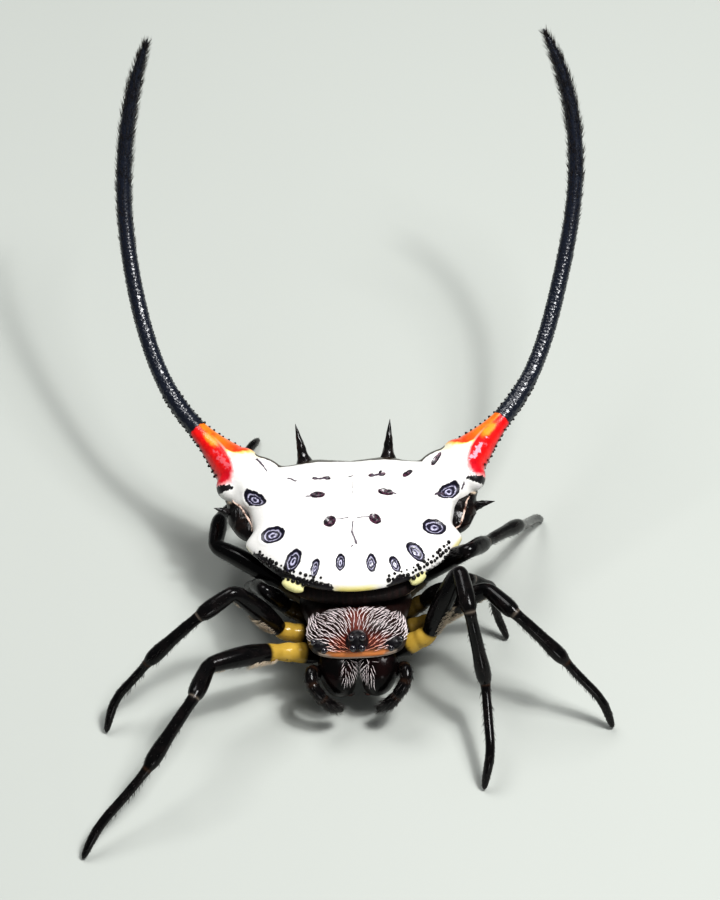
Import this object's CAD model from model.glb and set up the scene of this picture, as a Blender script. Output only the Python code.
import math

import bpy
import numpy as np
from mathutils import Matrix, Vector
from mathutils.bvhtree import BVHTree
from mathutils.kdtree import KDTree


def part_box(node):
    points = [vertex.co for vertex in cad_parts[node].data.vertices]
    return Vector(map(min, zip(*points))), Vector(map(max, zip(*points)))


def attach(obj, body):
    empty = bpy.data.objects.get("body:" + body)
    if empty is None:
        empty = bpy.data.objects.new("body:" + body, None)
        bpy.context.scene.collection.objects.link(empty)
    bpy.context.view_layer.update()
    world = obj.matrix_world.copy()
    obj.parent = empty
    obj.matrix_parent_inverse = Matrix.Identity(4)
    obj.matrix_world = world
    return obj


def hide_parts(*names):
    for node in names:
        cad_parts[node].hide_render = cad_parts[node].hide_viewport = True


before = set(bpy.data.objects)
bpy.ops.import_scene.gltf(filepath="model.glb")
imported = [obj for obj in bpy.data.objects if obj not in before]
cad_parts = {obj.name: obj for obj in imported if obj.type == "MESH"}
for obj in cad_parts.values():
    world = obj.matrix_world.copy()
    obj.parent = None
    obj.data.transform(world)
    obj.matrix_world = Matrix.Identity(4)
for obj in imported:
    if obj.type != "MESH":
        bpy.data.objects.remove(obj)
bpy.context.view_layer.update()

# Everything is worked out in millimetres round a point on the floor under the head, where the
# spider faces -Y and has its own left at +X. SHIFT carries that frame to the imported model's.
MM = 0.001
STERNUM_MIDDLE = 0.15
low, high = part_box("sternum")
SHIFT = np.array([(low.x + high.x) / 2 / MM, (low.y + high.y) / 2 / MM - STERNUM_MIDDLE, 0.0])
SIDES = {"right": -1, "left": 1}
UP = np.array([0.0, 0.0, 1.0])
ABOVE = 6.0                      # height over the body, from which rays are dropped on it
BAKE_MAP = "OFBake"
PATCH = 0.003                    # width of a hair's patch on the bake map

# Camera: degrees above the floor, distance, the point imaged at the middle, roll, focal length
VIEW_UP = 48.0
VIEW_DISTANCE = 110.0
VIEW_TARGET = np.array([0.31, 3.94, 5.35])
VIEW_ROLL = -2.3
SENSOR = 36.0                    # the picture's long side
FOCAL = 146.67

FLOOR_REACH = 0.6                # metres from the middle to each edge
LIGHT_AIM = (0, 0, 3)
LIGHTS = [("key", (45, -20, 115), 40, 0.11), ("glint", (45, -20, 115), 10, 0.05),
          ("top", (-30, 45, 120), 60, 0.065), ("front", (30, -125, 14), 26, 0.012)]   # place, size, watts

# Head and thorax: (y, half width, lowest z, highest z)
CARAPACE = [(-1.72, 1.12, 2.36, 2.84), (-1.50, 1.36, 2.20, 3.16), (-1.20, 1.47, 2.08, 3.40),
            (-0.90, 1.49, 2.02, 3.46), (-0.60, 1.47, 2.00, 3.34), (-0.30, 1.47, 2.00, 3.12),
            (0.05, 1.56, 2.00, 2.98), (0.55, 1.68, 2.00, 2.90), (1.00, 1.60, 2.00, 2.78),
            (1.40, 1.22, 2.00, 2.58), (1.75, 0.70, 2.00, 2.35)]
STERNUM_HALF = (0.92, 1.32)
STERNUM_Z = (0.98, 1.92)
TUBERCLE = (0.0, -1.48, 2.98)    # the knob between the four middle eyes
TUBERCLE_HALF = (0.30, 0.28, 0.32)
MIDDLE_EYES = [(0.15, -1.80, 2.98, 0.12), (0.17, -1.60, 3.26, 0.11)]      # x, y, z, radius
SIDE_EYES = [(1.00, -1.64, 2.80, 0.10), (1.24, -1.46, 2.90, 0.10)]
SIDE_EYE_MOUND = ((1.10, -1.46, 2.82), (0.26, 0.20, 0.18))            # middle and half sizes
SIDE_EYE_PATCH = ((1.12, -1.55, 2.86), (1.35, 1.0, 1.0))   # middle of the bare patch, and its stretch

# Jaws: (z, half width, y at the front, y at the back), each about its own middle
CHELICERA = [(0.64, 0.30, -1.80, -1.28), (1.00, 0.44, -2.02, -1.12), (1.50, 0.54, -2.20, -0.98),
             (2.00, 0.58, -2.14, -0.94), (2.42, 0.53, -1.84, -0.98)]
CHELICERA_X = 0.60
JAW_GAP = 0.06                   # half of the gap between the jaws
FAN_MIDDLE = (0.0, -1.66, 2.9)   # what the hairs of the head fan out from
JAW_FAN_MIDDLE = (0.0, -2.0, 3.1)             # and those of the jaws
FANG = [(0.52, -1.42, 0.94, 0.12), (0.46, -1.46, 0.78, 0.12), (0.36, -1.52, 0.62, 0.10),
        (0.24, -1.53, 0.52, 0.065), (0.13, -1.47, 0.48, 0.015)]
PALP = [(0.72, -1.05, 1.26, 0.17), (1.14, -1.60, 1.62, 0.18), (1.40, -1.80, 2.00, 0.19),
        (1.42, -2.06, 1.93, 0.19), (1.12, -2.40, 1.48, 0.185), (0.78, -2.44, 1.06, 0.175),
        (0.52, -2.38, 0.84, 0.06)]
PALP_JOINTS = (0.22, 0.40, 0.55, 0.72)        # shares of a feeler's length
PALP_SIDES = 28

# Abdomen seen from above: a half ellipse in front and a squarer, short half behind
SHIELD_HALF_WIDTH = 3.75
SHIELD_MIDDLE = 3.40             # y where it is widest
SHIELD_FRONT = 3.82
SHIELD_BACK = 1.28
FRONT_SQUARENESS = 2.0
BACK_SQUARENESS = 3.2
# Share of its rear length that the shield reaches, by the distance from its midline
REAR_REACH = [(0.0, 0.80), (0.5, 0.85), (1.2, 0.90), (1.65, 0.80), (1.9, 0.80), (2.4, 0.86), (3.75, 1.0)]
SIDE_NOTCH = (2.52, 0.74, 0.165)      # y, half length and share of the width cut from each side
# Swellings inside each horn and behind its root: middle, half sizes and degrees turned
WEBS = [(2.85, 4.25, 4.20, 0.85, 0.50, 0.50, 15.0), (3.30, 4.44, 4.22, 0.55, 0.62, 0.62, 30.0)]
RIM_FRONT, RIM_SIDE, RIM_BACK = 3.98, 3.78, 4.04
CROWN = 0.86
PLATE = 0.42
# Belly: (z, half width, y at the front, y at the back)
BELLY = [(1.12, 0.70, 2.75, 3.95), (1.30, 1.15, 2.55, 4.15), (1.80, 1.85, 2.30, 4.34),
         (2.40, 2.60, 1.98, 4.44), (3.00, 3.30, 1.38, 4.50), (3.40, 3.56, 0.90, 4.52),
         (3.62, 3.52, 0.45, 4.48), (3.86, 3.36, -0.22, 4.38), (4.30, 3.20, -0.26, 4.22)]
# The black shoulder in each side's notch: middle, half sizes and degrees turned
SHOULDER = (3.20, 3.00, 3.52, 0.94, 0.58, 0.44, 75.0)
FLANK = (3.46, 3.60, 3.60, 0.60, 0.38, 0.40, 80.0)
FACE = ((0.0, 0.40, 3.36), (1.95, 0.76, 0.50))           # the front of the belly under the plate
FOLDS = [(-1.56, 3.20, -12), (1.58, 3.24, 24)]           # pale folds on it: x, z and degrees turned
# The pale cord along each shoulder, seen from above
CORDS = {"right": [(3.60, 3.36), (3.47, 3.22), (3.34, 3.06), (3.24, 2.84), (3.12, 2.60), (3.02, 2.38),
                   (3.03, 2.20)],
         "left": [(3.56, 3.22), (3.47, 3.03), (3.42, 2.82), (3.37, 2.62), (3.30, 2.40), (3.17, 2.06),
                  (3.14, 1.90)]}
PEDICEL = ((0.0, 1.30, 2.28), (0.0, 2.35, 2.20), 0.27)
SPINNERET_MIDDLE = (0.0, 3.72, 1.12)
SPINNERET_RING = 0.45
SPINNERETS = [(0.215, -0.17, 0.14, 0.44), (0.195, 0.19, 0.12, 0.37)]      # x, y, radius, length
# Width of the collar round them by its height, and of each spinneret by the share of its length
COLLAR_WIDTH = [(-0.16, 0.55), (-0.13, 0.82), (-0.05, 0.97), (0.1, 1.0), (0.5, 1.12)]
SPINNERET_WIDTH = [(0, 1.0), (0.55, 0.95), (0.62, 0.78), (0.9, 0.66), (0.98, 0.4), (1.0, 0.12)]
CORD_RADIUS = 0.032

# Horns, as in the solids
HORN_ROOT = (3.38, 4.37, 4.08)
HORN_LENGTH = 14.7
HORN_RISE = (15.0, 60.0)
HORN_TURNS = (0.0, 0.12, 0.30, 0.60, 1.0)
HORN_OUTWARD = {"right": (40, 39, 19.5, 3, -22), "left": (42, 41, 22, 10, -26)}
HORN_SUNK = 1.1
HORN_RED = 1.95
HEEL = ((3.70, 3.84, 4.04), (0.38, 0.46, 0.40))      # fullness under the outer side of each root
# Where the red starts along the horn, by the turn from the top towards the outside, in radians
RED_START = [(-3.1, 0.2), (-0.71, 0.12), (-0.33, 0.17), (-0.09, 0.33), (0.10, 0.66), (0.26, 0.38),
             (0.57, -0.02), (0.82, -0.13), (1.02, -0.24), (1.30, -0.08), (1.70, 0.10), (3.1, 0.2)]
HORN_RADIUS = [(-1.1, 0.62), (-0.5, 0.72), (0.0, 0.70), (0.5, 0.60), (1.0, 0.46), (1.5, 0.35),
               (1.95, 0.29), (2.6, 0.27), (8.6, 0.235), (12.0, 0.215), (13.5, 0.17), (14.2, 0.10),
               (14.7, 0.015)]
GRANULE_PITCH = 0.105            # spacing of the shaft's rows of granules
GRANULE_COLUMNS = 14
GRANULE_RISE = 0.030
HORN_HAIR = (4.5, 14.55)         # from and to along the horn
HORN_HAIR_RADIUS = 0.0075
KNOBS = (-0.35, 3.4, 120)        # from and to along the horn, and how many
KNOB_TURNS = (-62, 118, -95, 150, 95, -130)   # degrees turned, of one knob after the other
KNOB_RADIUS = (0.030, 0.048)
# Spines: root, degrees outward and up, length, radius; and the width along them
REAR_SPINE = {"right": ((1.36, 4.44, 4.10), (15.0, 42.0), 1.36, 0.30),
              "left": ((1.13, 4.46, 4.10), (7.0, 42.0), 1.36, 0.30)}
FRONT_SPINE = {"right": ((3.52, 3.18, 3.42), (86.0, 36.0), 0.80, 0.27),
               "left": ((3.52, 3.12, 3.42), (88.0, 22.0), 0.86, 0.27)}
SPINE_WIDTH = [(-0.30, 1.7), (-0.05, 1.45), (0.08, 0.95), (0.2, 0.66), (0.5, 0.40), (0.8, 0.18),
               (1.0, 0.02)]

# Legs: coxa with trochanter, femur, patella, tibia, metatarsus, tarsus
LEG_ROOT = {1: (1.15, -0.80, 1.62), 2: (1.20, -0.15, 1.62), 3: (1.20, 0.45, 1.62), 4: (1.10, 1.12, 1.62)}
LEG_LENGTH = {1: (1.20, 2.55, 1.37, 2.46, 2.08, 1.15), 2: (1.15, 2.38, 1.25, 2.18, 1.67, 1.07),
              3: (1.05, 1.35, 0.89, 1.17, 1.17, 0.86), 4: (1.15, 2.69, 1.25, 2.34, 2.19, 1.08)}
LEG_POSE = {
    ("right", 1): ((78, 20), (63, 20), (18, 6), (42, -30), (50, -27), (41,)),
    ("left", 1): ((90, 34), (118, 65), (10, -15), (24, -66), (2, -25), (-24,)),
    ("right", 2): ((88, 20), (86, 57), (64, -21), (70, -38), (75, -49), (29,)),
    ("left", 2): ((92, 22), (82, 46), (38, 0), (64, -42), (65, -46), (47,)),
    ("right", 3): ((100, 30), (63, 60), (157, -35), (162, -54), (162, -56), (160,)),
    ("left", 3): ((98, 34), (64, 50), (128, -16), (116, -54), (70, -84), (51,)),
    ("right", 4): ((118, 12), (127, 2), (188, -2), (212, -20), (168, -18), (204,)),
    ("left", 4): ((116, 26), (58, 53), (148, -33), (145, -30), (163, -44), (154,)),
}
ANKLE = 0.14
LEG_BULK = {1: 1.0, 2: 0.97, 3: 0.88, 4: 0.97}
SEGMENT_BOW = (0.0, 0.0, 0.05, 0.0, 0.02, -0.03, 0.0)
# Radius along each segment, as it is in life: coxa, trochanter, femur, patella, tibia, metatarsus, tarsus
SEGMENT_RADIUS = [
    [(0.0, 0.27), (0.3, 0.31), (0.7, 0.32), (0.95, 0.30)],
    [(0.15, 0.285), (0.5, 0.30), (0.85, 0.28)],
    [(0.05, 0.25), (0.15, 0.275), (0.35, 0.31), (0.55, 0.315), (0.85, 0.27), (0.98, 0.245)],
    [(0.12, 0.24), (0.45, 0.262), (0.72, 0.268), (0.88, 0.245), (1.0, 0.20)],
    [(0.06, 0.180), (0.25, 0.185), (0.55, 0.200), (0.80, 0.236), (0.90, 0.225), (1.0, 0.170)],
    [(0.06, 0.150), (0.35, 0.140), (0.75, 0.140), (1.0, 0.140)],
    [(0.30, 0.140), (0.60, 0.126), (0.85, 0.098), (1.0, 0.055)],
]
LEG_STEP = 0.03                  # spacing of a leg's rings
# How far along the leg the bend at each joint is rounded, each way
JOINT_ROUND = (0.25, 0.25, 0.28, 0.34, 0.18, 0.25, 0.70, 0.15)
# Necks: joint, depth as a share of the radius
NECKS = ((3, 0.03), (4, 0.06), (5, 0.05))
NECK_WIDTH = 0.07
CLAW = 0.5                       # length at the tip that dips to the floor
CLAW_DIP = 0.08
TIP_ROUND = 0.11                 # length over which the tip is rounded off
LEG_SIDES = 26
FLOOR_GAP = 0.012                # the lowest that a leg's skin reaches
# How yellow a hip is, and the shares of the femur over which that fades
GOLDEN = {("right", 1): 0.95, ("left", 1): 0.95, ("right", 2): 0.85, ("left", 2): 0.35}
OTHER_GOLDEN = 0.1
GOLDEN_FEMUR = {("right", 1): (0.24, 0.18)}
OTHER_FEMUR = (0.07, 0.03)
HIP_SPLIT = 0.62                 # where the coxa ends, as a share of the hip's length

# Marks on the shield: x, y, half length, half width, degrees turned from +X. The first five pairs
# are ringed, and the others plain.
RINGED = [(-2.90, 3.04, 0.44, 0.18, -45), (2.92, 3.06, 0.44, 0.19, 44),
          (-2.39, 1.53, 0.37, 0.27, -10), (2.43, 1.59, 0.37, 0.27, 15),
          (-1.80, 0.57, 0.34, 0.23, 60), (1.84, 0.69, 0.33, 0.21, -47),
          (-1.16, 0.22, 0.27, 0.125, 72), (1.20, 0.25, 0.24, 0.14, -62),
          (-0.40, 0.30, 0.26, 0.14, 89), (0.51, 0.26, 0.27, 0.15, 89)]
PLAIN = [(-0.67, 1.67, 0.20, 0.17, 54), (0.68, 1.70, 0.20, 0.16, -57),
         (-1.01, 2.68, 0.22, 0.11, -5), (1.02, 2.69, 0.23, 0.12, -8),
         (-1.07, 3.33, 0.10, 0.05, -14), (-0.72, 3.30, 0.12, 0.07, -16),
         (0.63, 3.33, 0.11, 0.06, 6), (0.93, 3.38, 0.11, 0.075, 1), (0.90, 3.46, 0.08, 0.04, 60),
         (1.71, 3.46, 0.20, 0.08, 44), (2.60, 4.10, 0.25, 0.085, 54), (0.0, 3.32, 0.08, 0.02, 8)]
STROKES = [((-0.56, 1.74), (-0.12, 1.73), 0.014), ((0.60, 1.77), (0.15, 1.75), 0.014),
           ((0.01, 1.62), (-0.02, 1.26), 0.018), ((-0.02, 1.26), (0.09, 0.87), 0.030),
           ((-0.02, 0.80), (-0.07, 0.77), 0.018), ((-1.89, 3.49), (-1.66, 3.33), 0.024),
           ((-2.81, 4.33), (-2.62, 4.07), 0.032), ((-2.62, 4.07), (-2.52, 3.94), 0.020),
           ((-1.23, 2.67), (-1.36, 2.66), 0.018), ((1.24, 2.68), (1.33, 2.64), 0.018),
           ((-1.07, 3.32), (-0.72, 3.29), 0.030), ((0.63, 3.33), (0.93, 3.38), 0.036),
           ((3.32, 3.28), (3.42, 3.42), 0.02), ((2.74, 2.94), (2.52, 2.78), 0.034),
           ((0.05, 3.07), (0.04, 2.58), 0.006)]
PIT_DEPTH = 0.05
PIT_RIM = 0.016                  # height of the rim round a ringed pit
PIT_KNOB = 0.018                 # and of the knob in its middle
REAR_RIDGE = 0.030               # height of the two ridges along the rear edge
# Colours of a ringed pit, from its middle to its edge
PIT_COLOURS = [(0.0, (0.012, 0.010, 0.030)), (0.15, (0.03, 0.025, 0.06)), (0.23, (0.66, 0.64, 0.80)),
               (0.32, (0.40, 0.38, 0.54)), (0.39, (0.008, 0.006, 0.018)), (0.59, (0.010, 0.008, 0.024)),
               (0.64, (0.58, 0.56, 0.70)), (0.69, (0.30, 0.28, 0.40)), (0.75, (0.005, 0.004, 0.010)),
               (1.0, (0.008, 0.006, 0.016))]
# Where the black front margin starts on the plate's edge share, by x
BLACK_FROM = [(-3.7, 1.03), (-3.05, 0.985), (-2.88, 0.965), (-2.56, 0.950), (-2.3, 0.962), (-2.03, 0.972),
              (-1.57, 0.975), (-1.13, 0.978), (-0.77, 0.975), (-0.62, 0.995), (-0.5, 1.05), (0.82, 1.05),
              (0.93, 1.0), (1.10, 0.985), (1.33, 0.965), (1.45, 0.978), (1.75, 0.99), (2.5, 0.998),
              (2.9, 1.01), (3.7, 1.04)]
# Rows of black beads along the front margin: edge share, spacing, radius; and the x they lie between
MARGIN_BEADS = [(0.950, 0.150, 0.056), (0.976, 0.13, 0.066), (1.0, 0.12, 0.074)]
MARGIN_X = (1.0, 2.86)
LEFT_CUT = (0.95, 0.55, 0.035)       # y, half length and share taken off the width at x < 0
# Yellow lobes under the front margin: middle, half sizes and degrees turned from +X
LOBES = [(-1.84, 0.02, 3.80, 0.38, 0.17, 0.17, -30), (1.88, 0.14, 3.80, 0.32, 0.17, 0.18, 42)]
LOBE_COLOURS = [(0.0, (0.56, 0.56, 0.05)), (0.6, (0.64, 0.62, 0.09)), (1.0, (0.80, 0.76, 0.40))]


def unit(vectors):
    """Vectors scaled to length 1."""
    vectors = np.asarray(vectors, float)
    return vectors / np.maximum(np.linalg.norm(vectors, axis=-1, keepdims=True), 1e-12)


def signed(value, power):
    """value to a power, with its sign kept."""
    return np.sign(value) * np.abs(value) ** power


def ease(value, start, end):
    """0 before start and 1 after end, with a smooth step between."""
    share = np.clip((np.asarray(value, float) - start) / (end - start), 0, 1)
    return share * share * (3 - 2 * share)


def bell(value, middle, width, power=2):
    """1 at middle, falling to 0 on both sides over about twice width."""
    return np.exp(-((value - middle) / width) ** power)


def along(table, keys):
    """Rows of a table at keys, on a smooth curve through the rows; its first column holds the keys."""
    rows = np.array(table, float)
    places, values = rows[:, 0], rows[:, 1:]
    keys = np.clip(np.asarray(keys, float), places[0], places[-1])
    slopes = np.gradient(values, places, axis=0)
    i = np.clip(np.searchsorted(places, keys, side="right"), 1, len(places) - 1) - 1
    span = (places[i + 1] - places[i])[..., None]
    f = (keys - places[i])[..., None] / span
    lead = (1 + 2 * f) * (1 - f) ** 2 * values[i] + f * f * (3 - 2 * f) * values[i + 1]
    return lead + span * f * (1 - f) * ((1 - f) * slopes[i] - f * slopes[i + 1])


def section(table, rise):
    """For a rise of -1 to 1 through a table's keys: the key, and each other column there."""
    low, high = table[0][0], table[-1][0]
    key = (low + high) / 2 + rise * (high - low) / 2
    return (key, *along(table, key).T)


def run_along(path):
    """How far along a path each of its points lies."""
    return np.concatenate([[0.0], np.cumsum(np.linalg.norm(np.diff(path, axis=0), axis=1))])


def upward(ahead):
    """The part of straight up that is square to each way ahead."""
    return UP - ahead * ahead[..., 2:]


def heading(side, outward, up):
    """Unit vector for an angle turned outward from straight ahead (-Y) and an angle above level."""
    a, b = math.radians(outward), math.radians(up)
    return np.array([SIDES[side] * math.sin(a) * math.cos(b), -math.cos(a) * math.cos(b), math.sin(b)])


def mirrored(point, side):
    """A point given for the left side, on either side."""
    return np.array([SIDES[side] * point[0], point[1], point[2]], float)


def triangles(faces):
    """Faces of three and four corners as triangles."""
    split = [block if block.shape[1] == 3 else np.vstack([block[:, [0, 1, 2]], block[:, [0, 2, 3]]])
             for block in faces]
    return np.vstack(split)


def facing_out(points, faces):
    """The faces of a closed form, turned so that they face outward."""
    a, b, c = points[triangles(faces)].transpose(1, 0, 2)
    if np.einsum("ij,ij->i", a, np.cross(b, c)).sum() < 0:
        return [block[:, ::-1] for block in faces]
    return faces


def sleeve(rings, around, first=0):
    """Faces of rings of points that a point closes at each end; first is the number of the first point."""
    i, j = np.meshgrid(np.arange(rings - 1), np.arange(around), indexing="ij")
    i, j = i.ravel(), j.ravel()
    k = (j + 1) % around
    base = first + 1
    quads = np.stack([base + i * around + j, base + i * around + k,
                      base + (i + 1) * around + k, base + (i + 1) * around + j], axis=1)
    j = np.arange(around)
    k = (j + 1) % around
    end = base + (rings - 1) * around
    fans = np.vstack([np.stack([np.full(around, first), base + k, base + j], axis=1),
                      np.stack([np.full(around, end + around), end + j, end + k], axis=1)])
    return [quads, fans]


def closed_form(place, around, rings):
    """A closed form whose points are place(turn, rise): turn round an axis, rise -1 to 1 along it."""
    turn = np.linspace(-np.pi, np.pi, around, endpoint=False)
    rise = -np.cos(np.linspace(0, np.pi, rings + 1))[1:-1]
    rises, turns = np.meshgrid(rise, turn, indexing="ij")
    ends = place(np.zeros(2), np.array([-1.0, 1.0]))
    points = np.vstack([ends[:1], place(turns.ravel(), rises.ravel()), ends[1:]])
    faces = sleeve(rings - 1, around)
    return points, facing_out(points, faces)


def on_sphere(turn, rise):
    """Points of a ball of radius 1."""
    flat = np.sqrt(np.maximum(0.0, 1 - rise * rise))
    return np.stack([flat * np.cos(turn), flat * np.sin(turn), rise], axis=-1)


def ellipsoid(middle, half, around=32, rings=20):
    """A closed form from its middle and half sizes."""
    def place(turn, rise):
        return np.array(middle) + np.array(half) * on_sphere(turn, rise)

    return closed_form(place, around, rings)


def turned_egg(x, y, z, half_length, half_width, half_height, degrees):
    """An egg-shaped form, turned about Z."""
    points, faces = ellipsoid((0, 0, 0), (half_length, half_width, half_height), 28, 18)
    a = math.radians(degrees)
    turn = np.array([[math.cos(a), -math.sin(a), 0], [math.sin(a), math.cos(a), 0], [0, 0, 1]])
    return points @ turn.T + [x, y, z], faces


def mirrored_egg(row, side):
    """An egg given for the left side, on either side."""
    x, y, z, *half, degrees = row
    return turned_egg(SIDES[side] * x, y, z, *half, degrees if SIDES[side] > 0 else 180 - degrees)


def frames(path):
    """The way along a path at each of its points, and two ways square to it that don't twist."""
    ahead = unit(np.gradient(path, axis=0))
    ups = [unit(upward(ahead[0]))]
    for way in ahead[1:]:
        ups.append(unit(ups[-1] - way * (ups[-1] @ way)))
    ups = np.array(ups)
    return ahead, ups, np.cross(ahead, ups)


def tube(path, radii, sides, relief=None):
    """A closed tube along a path. relief(share, turn) gives a rise of its skin."""
    path, radii = np.asarray(path, float), np.asarray(radii, float)
    _, up, across = frames(path)
    turn = np.linspace(0, 2 * np.pi, sides, endpoint=False)
    shares, turns = np.meshgrid(np.linspace(0, 1, len(path)), turn, indexing="ij")
    width = radii[:, None] + (relief(shares, turns) if relief else 0.0)
    out = up[:, None] * np.cos(turn)[None, :, None] + across[:, None] * np.sin(turn)[None, :, None]
    points = path[:, None] + out * width[..., None]
    points = np.vstack([path[:1], points.reshape(-1, 3), path[-1:]])
    return points, facing_out(points, sleeve(len(path), sides))


def on_tube(values, sides):
    """Values along a tube's path, for each point of its skin."""
    return np.concatenate([values[:1], np.repeat(values, sides), values[-1:]])


def joined(forms):
    """Several forms (points, faces) as one."""
    points, faces, count = [], [], 0
    for form in forms:
        points.append(form[0])
        faces += [block + count for block in form[1]]
        count += len(form[0])
    merged = []
    for corners in (3, 4):
        blocks = [block for block in faces if block.shape[1] == corners]
        if blocks:
            merged.append(np.vstack(blocks))
    return np.vstack(points), merged


def to_mesh(name, points, faces):
    """A mesh from arrays of points and of faces with three or four corners."""
    mesh = bpy.data.meshes.new(name)
    loops = np.concatenate([block.ravel() for block in faces]).astype(np.int32)
    sizes = np.concatenate([np.full(len(block), block.shape[1]) for block in faces])
    starts = np.concatenate([[0], np.cumsum(sizes)[:-1]]).astype(np.int32)
    mesh.vertices.add(len(points))
    mesh.vertices.foreach_set("co", np.asarray(points, np.float32).ravel())
    mesh.loops.add(len(loops))
    mesh.loops.foreach_set("vertex_index", loops)
    mesh.polygons.add(len(sizes))
    mesh.polygons.foreach_set("loop_start", starts)
    mesh.update(calc_edges=True)
    return mesh


def link(name, data):
    """A new object of the scene."""
    made = bpy.data.objects.new(name, data)
    bpy.context.scene.collection.objects.link(made)
    return made


def fuse(forms, voxel):
    """One closed skin of quads round several closed forms."""
    mesh = to_mesh("fused", *joined(forms))
    guide = link("fused", mesh)
    change = guide.modifiers.new("skin", "REMESH")
    change.mode = "VOXEL"
    change.voxel_size = voxel
    graph = bpy.context.evaluated_depsgraph_get()
    skin = bpy.data.meshes.new_from_object(guide.evaluated_get(graph))
    points = np.zeros(len(skin.vertices) * 3, np.float32)
    skin.vertices.foreach_get("co", points)
    corners = np.zeros(len(skin.loops), np.int32)
    skin.loops.foreach_get("vertex_index", corners)
    bpy.data.objects.remove(guide)
    bpy.data.meshes.remove(mesh)
    bpy.data.meshes.remove(skin)
    return points.reshape(-1, 3).astype(float), [corners.reshape(-1, 4)]


def search_tree(points, faces):
    """A skin of quads, for rays and for the nearest place."""
    return BVHTree.FromPolygons([Vector(p) for p in points], [list(map(int, q)) for q in faces[0]])


def below(tree, x, y):
    """Where a skin is first met on the way down, and the normal there; None where it isn't."""
    return tree.ray_cast(Vector((x, y, ABOVE)), Vector((0, 0, -1)))[:2]


def point_normals(points, faces):
    """The way out of a skin at each point."""
    tris = triangles(faces)
    a, b, c = points[tris].transpose(1, 0, 2)
    square = np.cross(b - a, c - a)
    total = np.zeros_like(points)
    for corner in range(3):
        for axis in range(3):
            total[:, axis] += np.bincount(tris[:, corner], square[:, axis], len(points))
    return unit(total)


def relax(points, faces, steps, weight=0.5, only_out=False):
    """Moves each point towards the middle of its neighbours, by weight; only_out fills creases alone."""
    pairs = np.vstack([np.stack([block[:, i], np.roll(block, -1, axis=1)[:, i]], axis=1)
                       for block in faces for i in range(block.shape[1])])
    pairs = np.vstack([pairs, pairs[:, ::-1]])
    count = np.maximum(np.bincount(pairs[:, 0], minlength=len(points)), 1)
    weight = np.broadcast_to(weight, len(points))[:, None]
    for _ in range(steps):
        total = np.stack([np.bincount(pairs[:, 0], points[pairs[:, 1], axis], len(points))
                          for axis in range(3)], axis=1)
        shift = total / count[:, None] - points
        if only_out:
            normals = point_normals(points, faces)
            shift = normals * np.maximum(np.einsum("ij,ij->i", shift, normals), 0)[:, None]
        points = points + weight * shift
    return points


def piece(name, points, faces, finish, slot, replaced=(), marks=None):
    """A shown piece from points in millimetres, which rides on the model and stands for CAD nodes."""
    mesh = to_mesh(name, points, faces)
    for key, values in (marks or {}).items():
        mesh.attributes.new(key, "FLOAT", "POINT").data.foreach_set("value", np.asarray(values, np.float32))
    mesh.transform(Matrix.Scale(MM, 4) @ Matrix.Translation(Vector(SHIFT)))
    mesh.shade_smooth()
    mesh.materials.append(finish)
    made = link(name, mesh)
    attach(made, "root")
    if replaced:
        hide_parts(*replaced)
    return made


# Hairs and bristles

def scatter(points, faces, count, rng, weight, apart=0.0):
    """Random places on a skin, at least so far apart. weight(middle, normal) favours some of it."""
    tris = triangles(faces)
    a, b, c = points[tris].transpose(1, 0, 2)
    square = np.cross(b - a, c - a)
    normal = unit(square)
    share = np.linalg.norm(square, axis=1) * weight((a + b + c) / 3, normal)
    chosen = rng.choice(len(tris), count, p=share / share.sum())
    u, v = rng.random((2, count))
    past = u + v > 1
    u[past], v[past] = 1 - u[past], 1 - v[past]
    roots = a[chosen] + (b - a)[chosen] * u[:, None] + (c - a)[chosen] * v[:, None]
    normals = normal[chosen]
    if apart:
        keep = thinned(roots, apart)
        roots, normals = roots[keep], normals[keep]
    return roots, normals


def thinned(places, apart):
    """Numbers of the places that are at least so far from every earlier one that is kept."""
    tree = KDTree(len(places))
    for i, place in enumerate(places):
        tree.insert(place, i)
    tree.balance()
    dropped = np.zeros(len(places), bool)
    for i, place in enumerate(places):
        if not dropped[i]:
            for _, other, _ in tree.find_range(place, apart):
                if other > i:
                    dropped[other] = True
    return np.nonzero(~dropped)[0]


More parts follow.
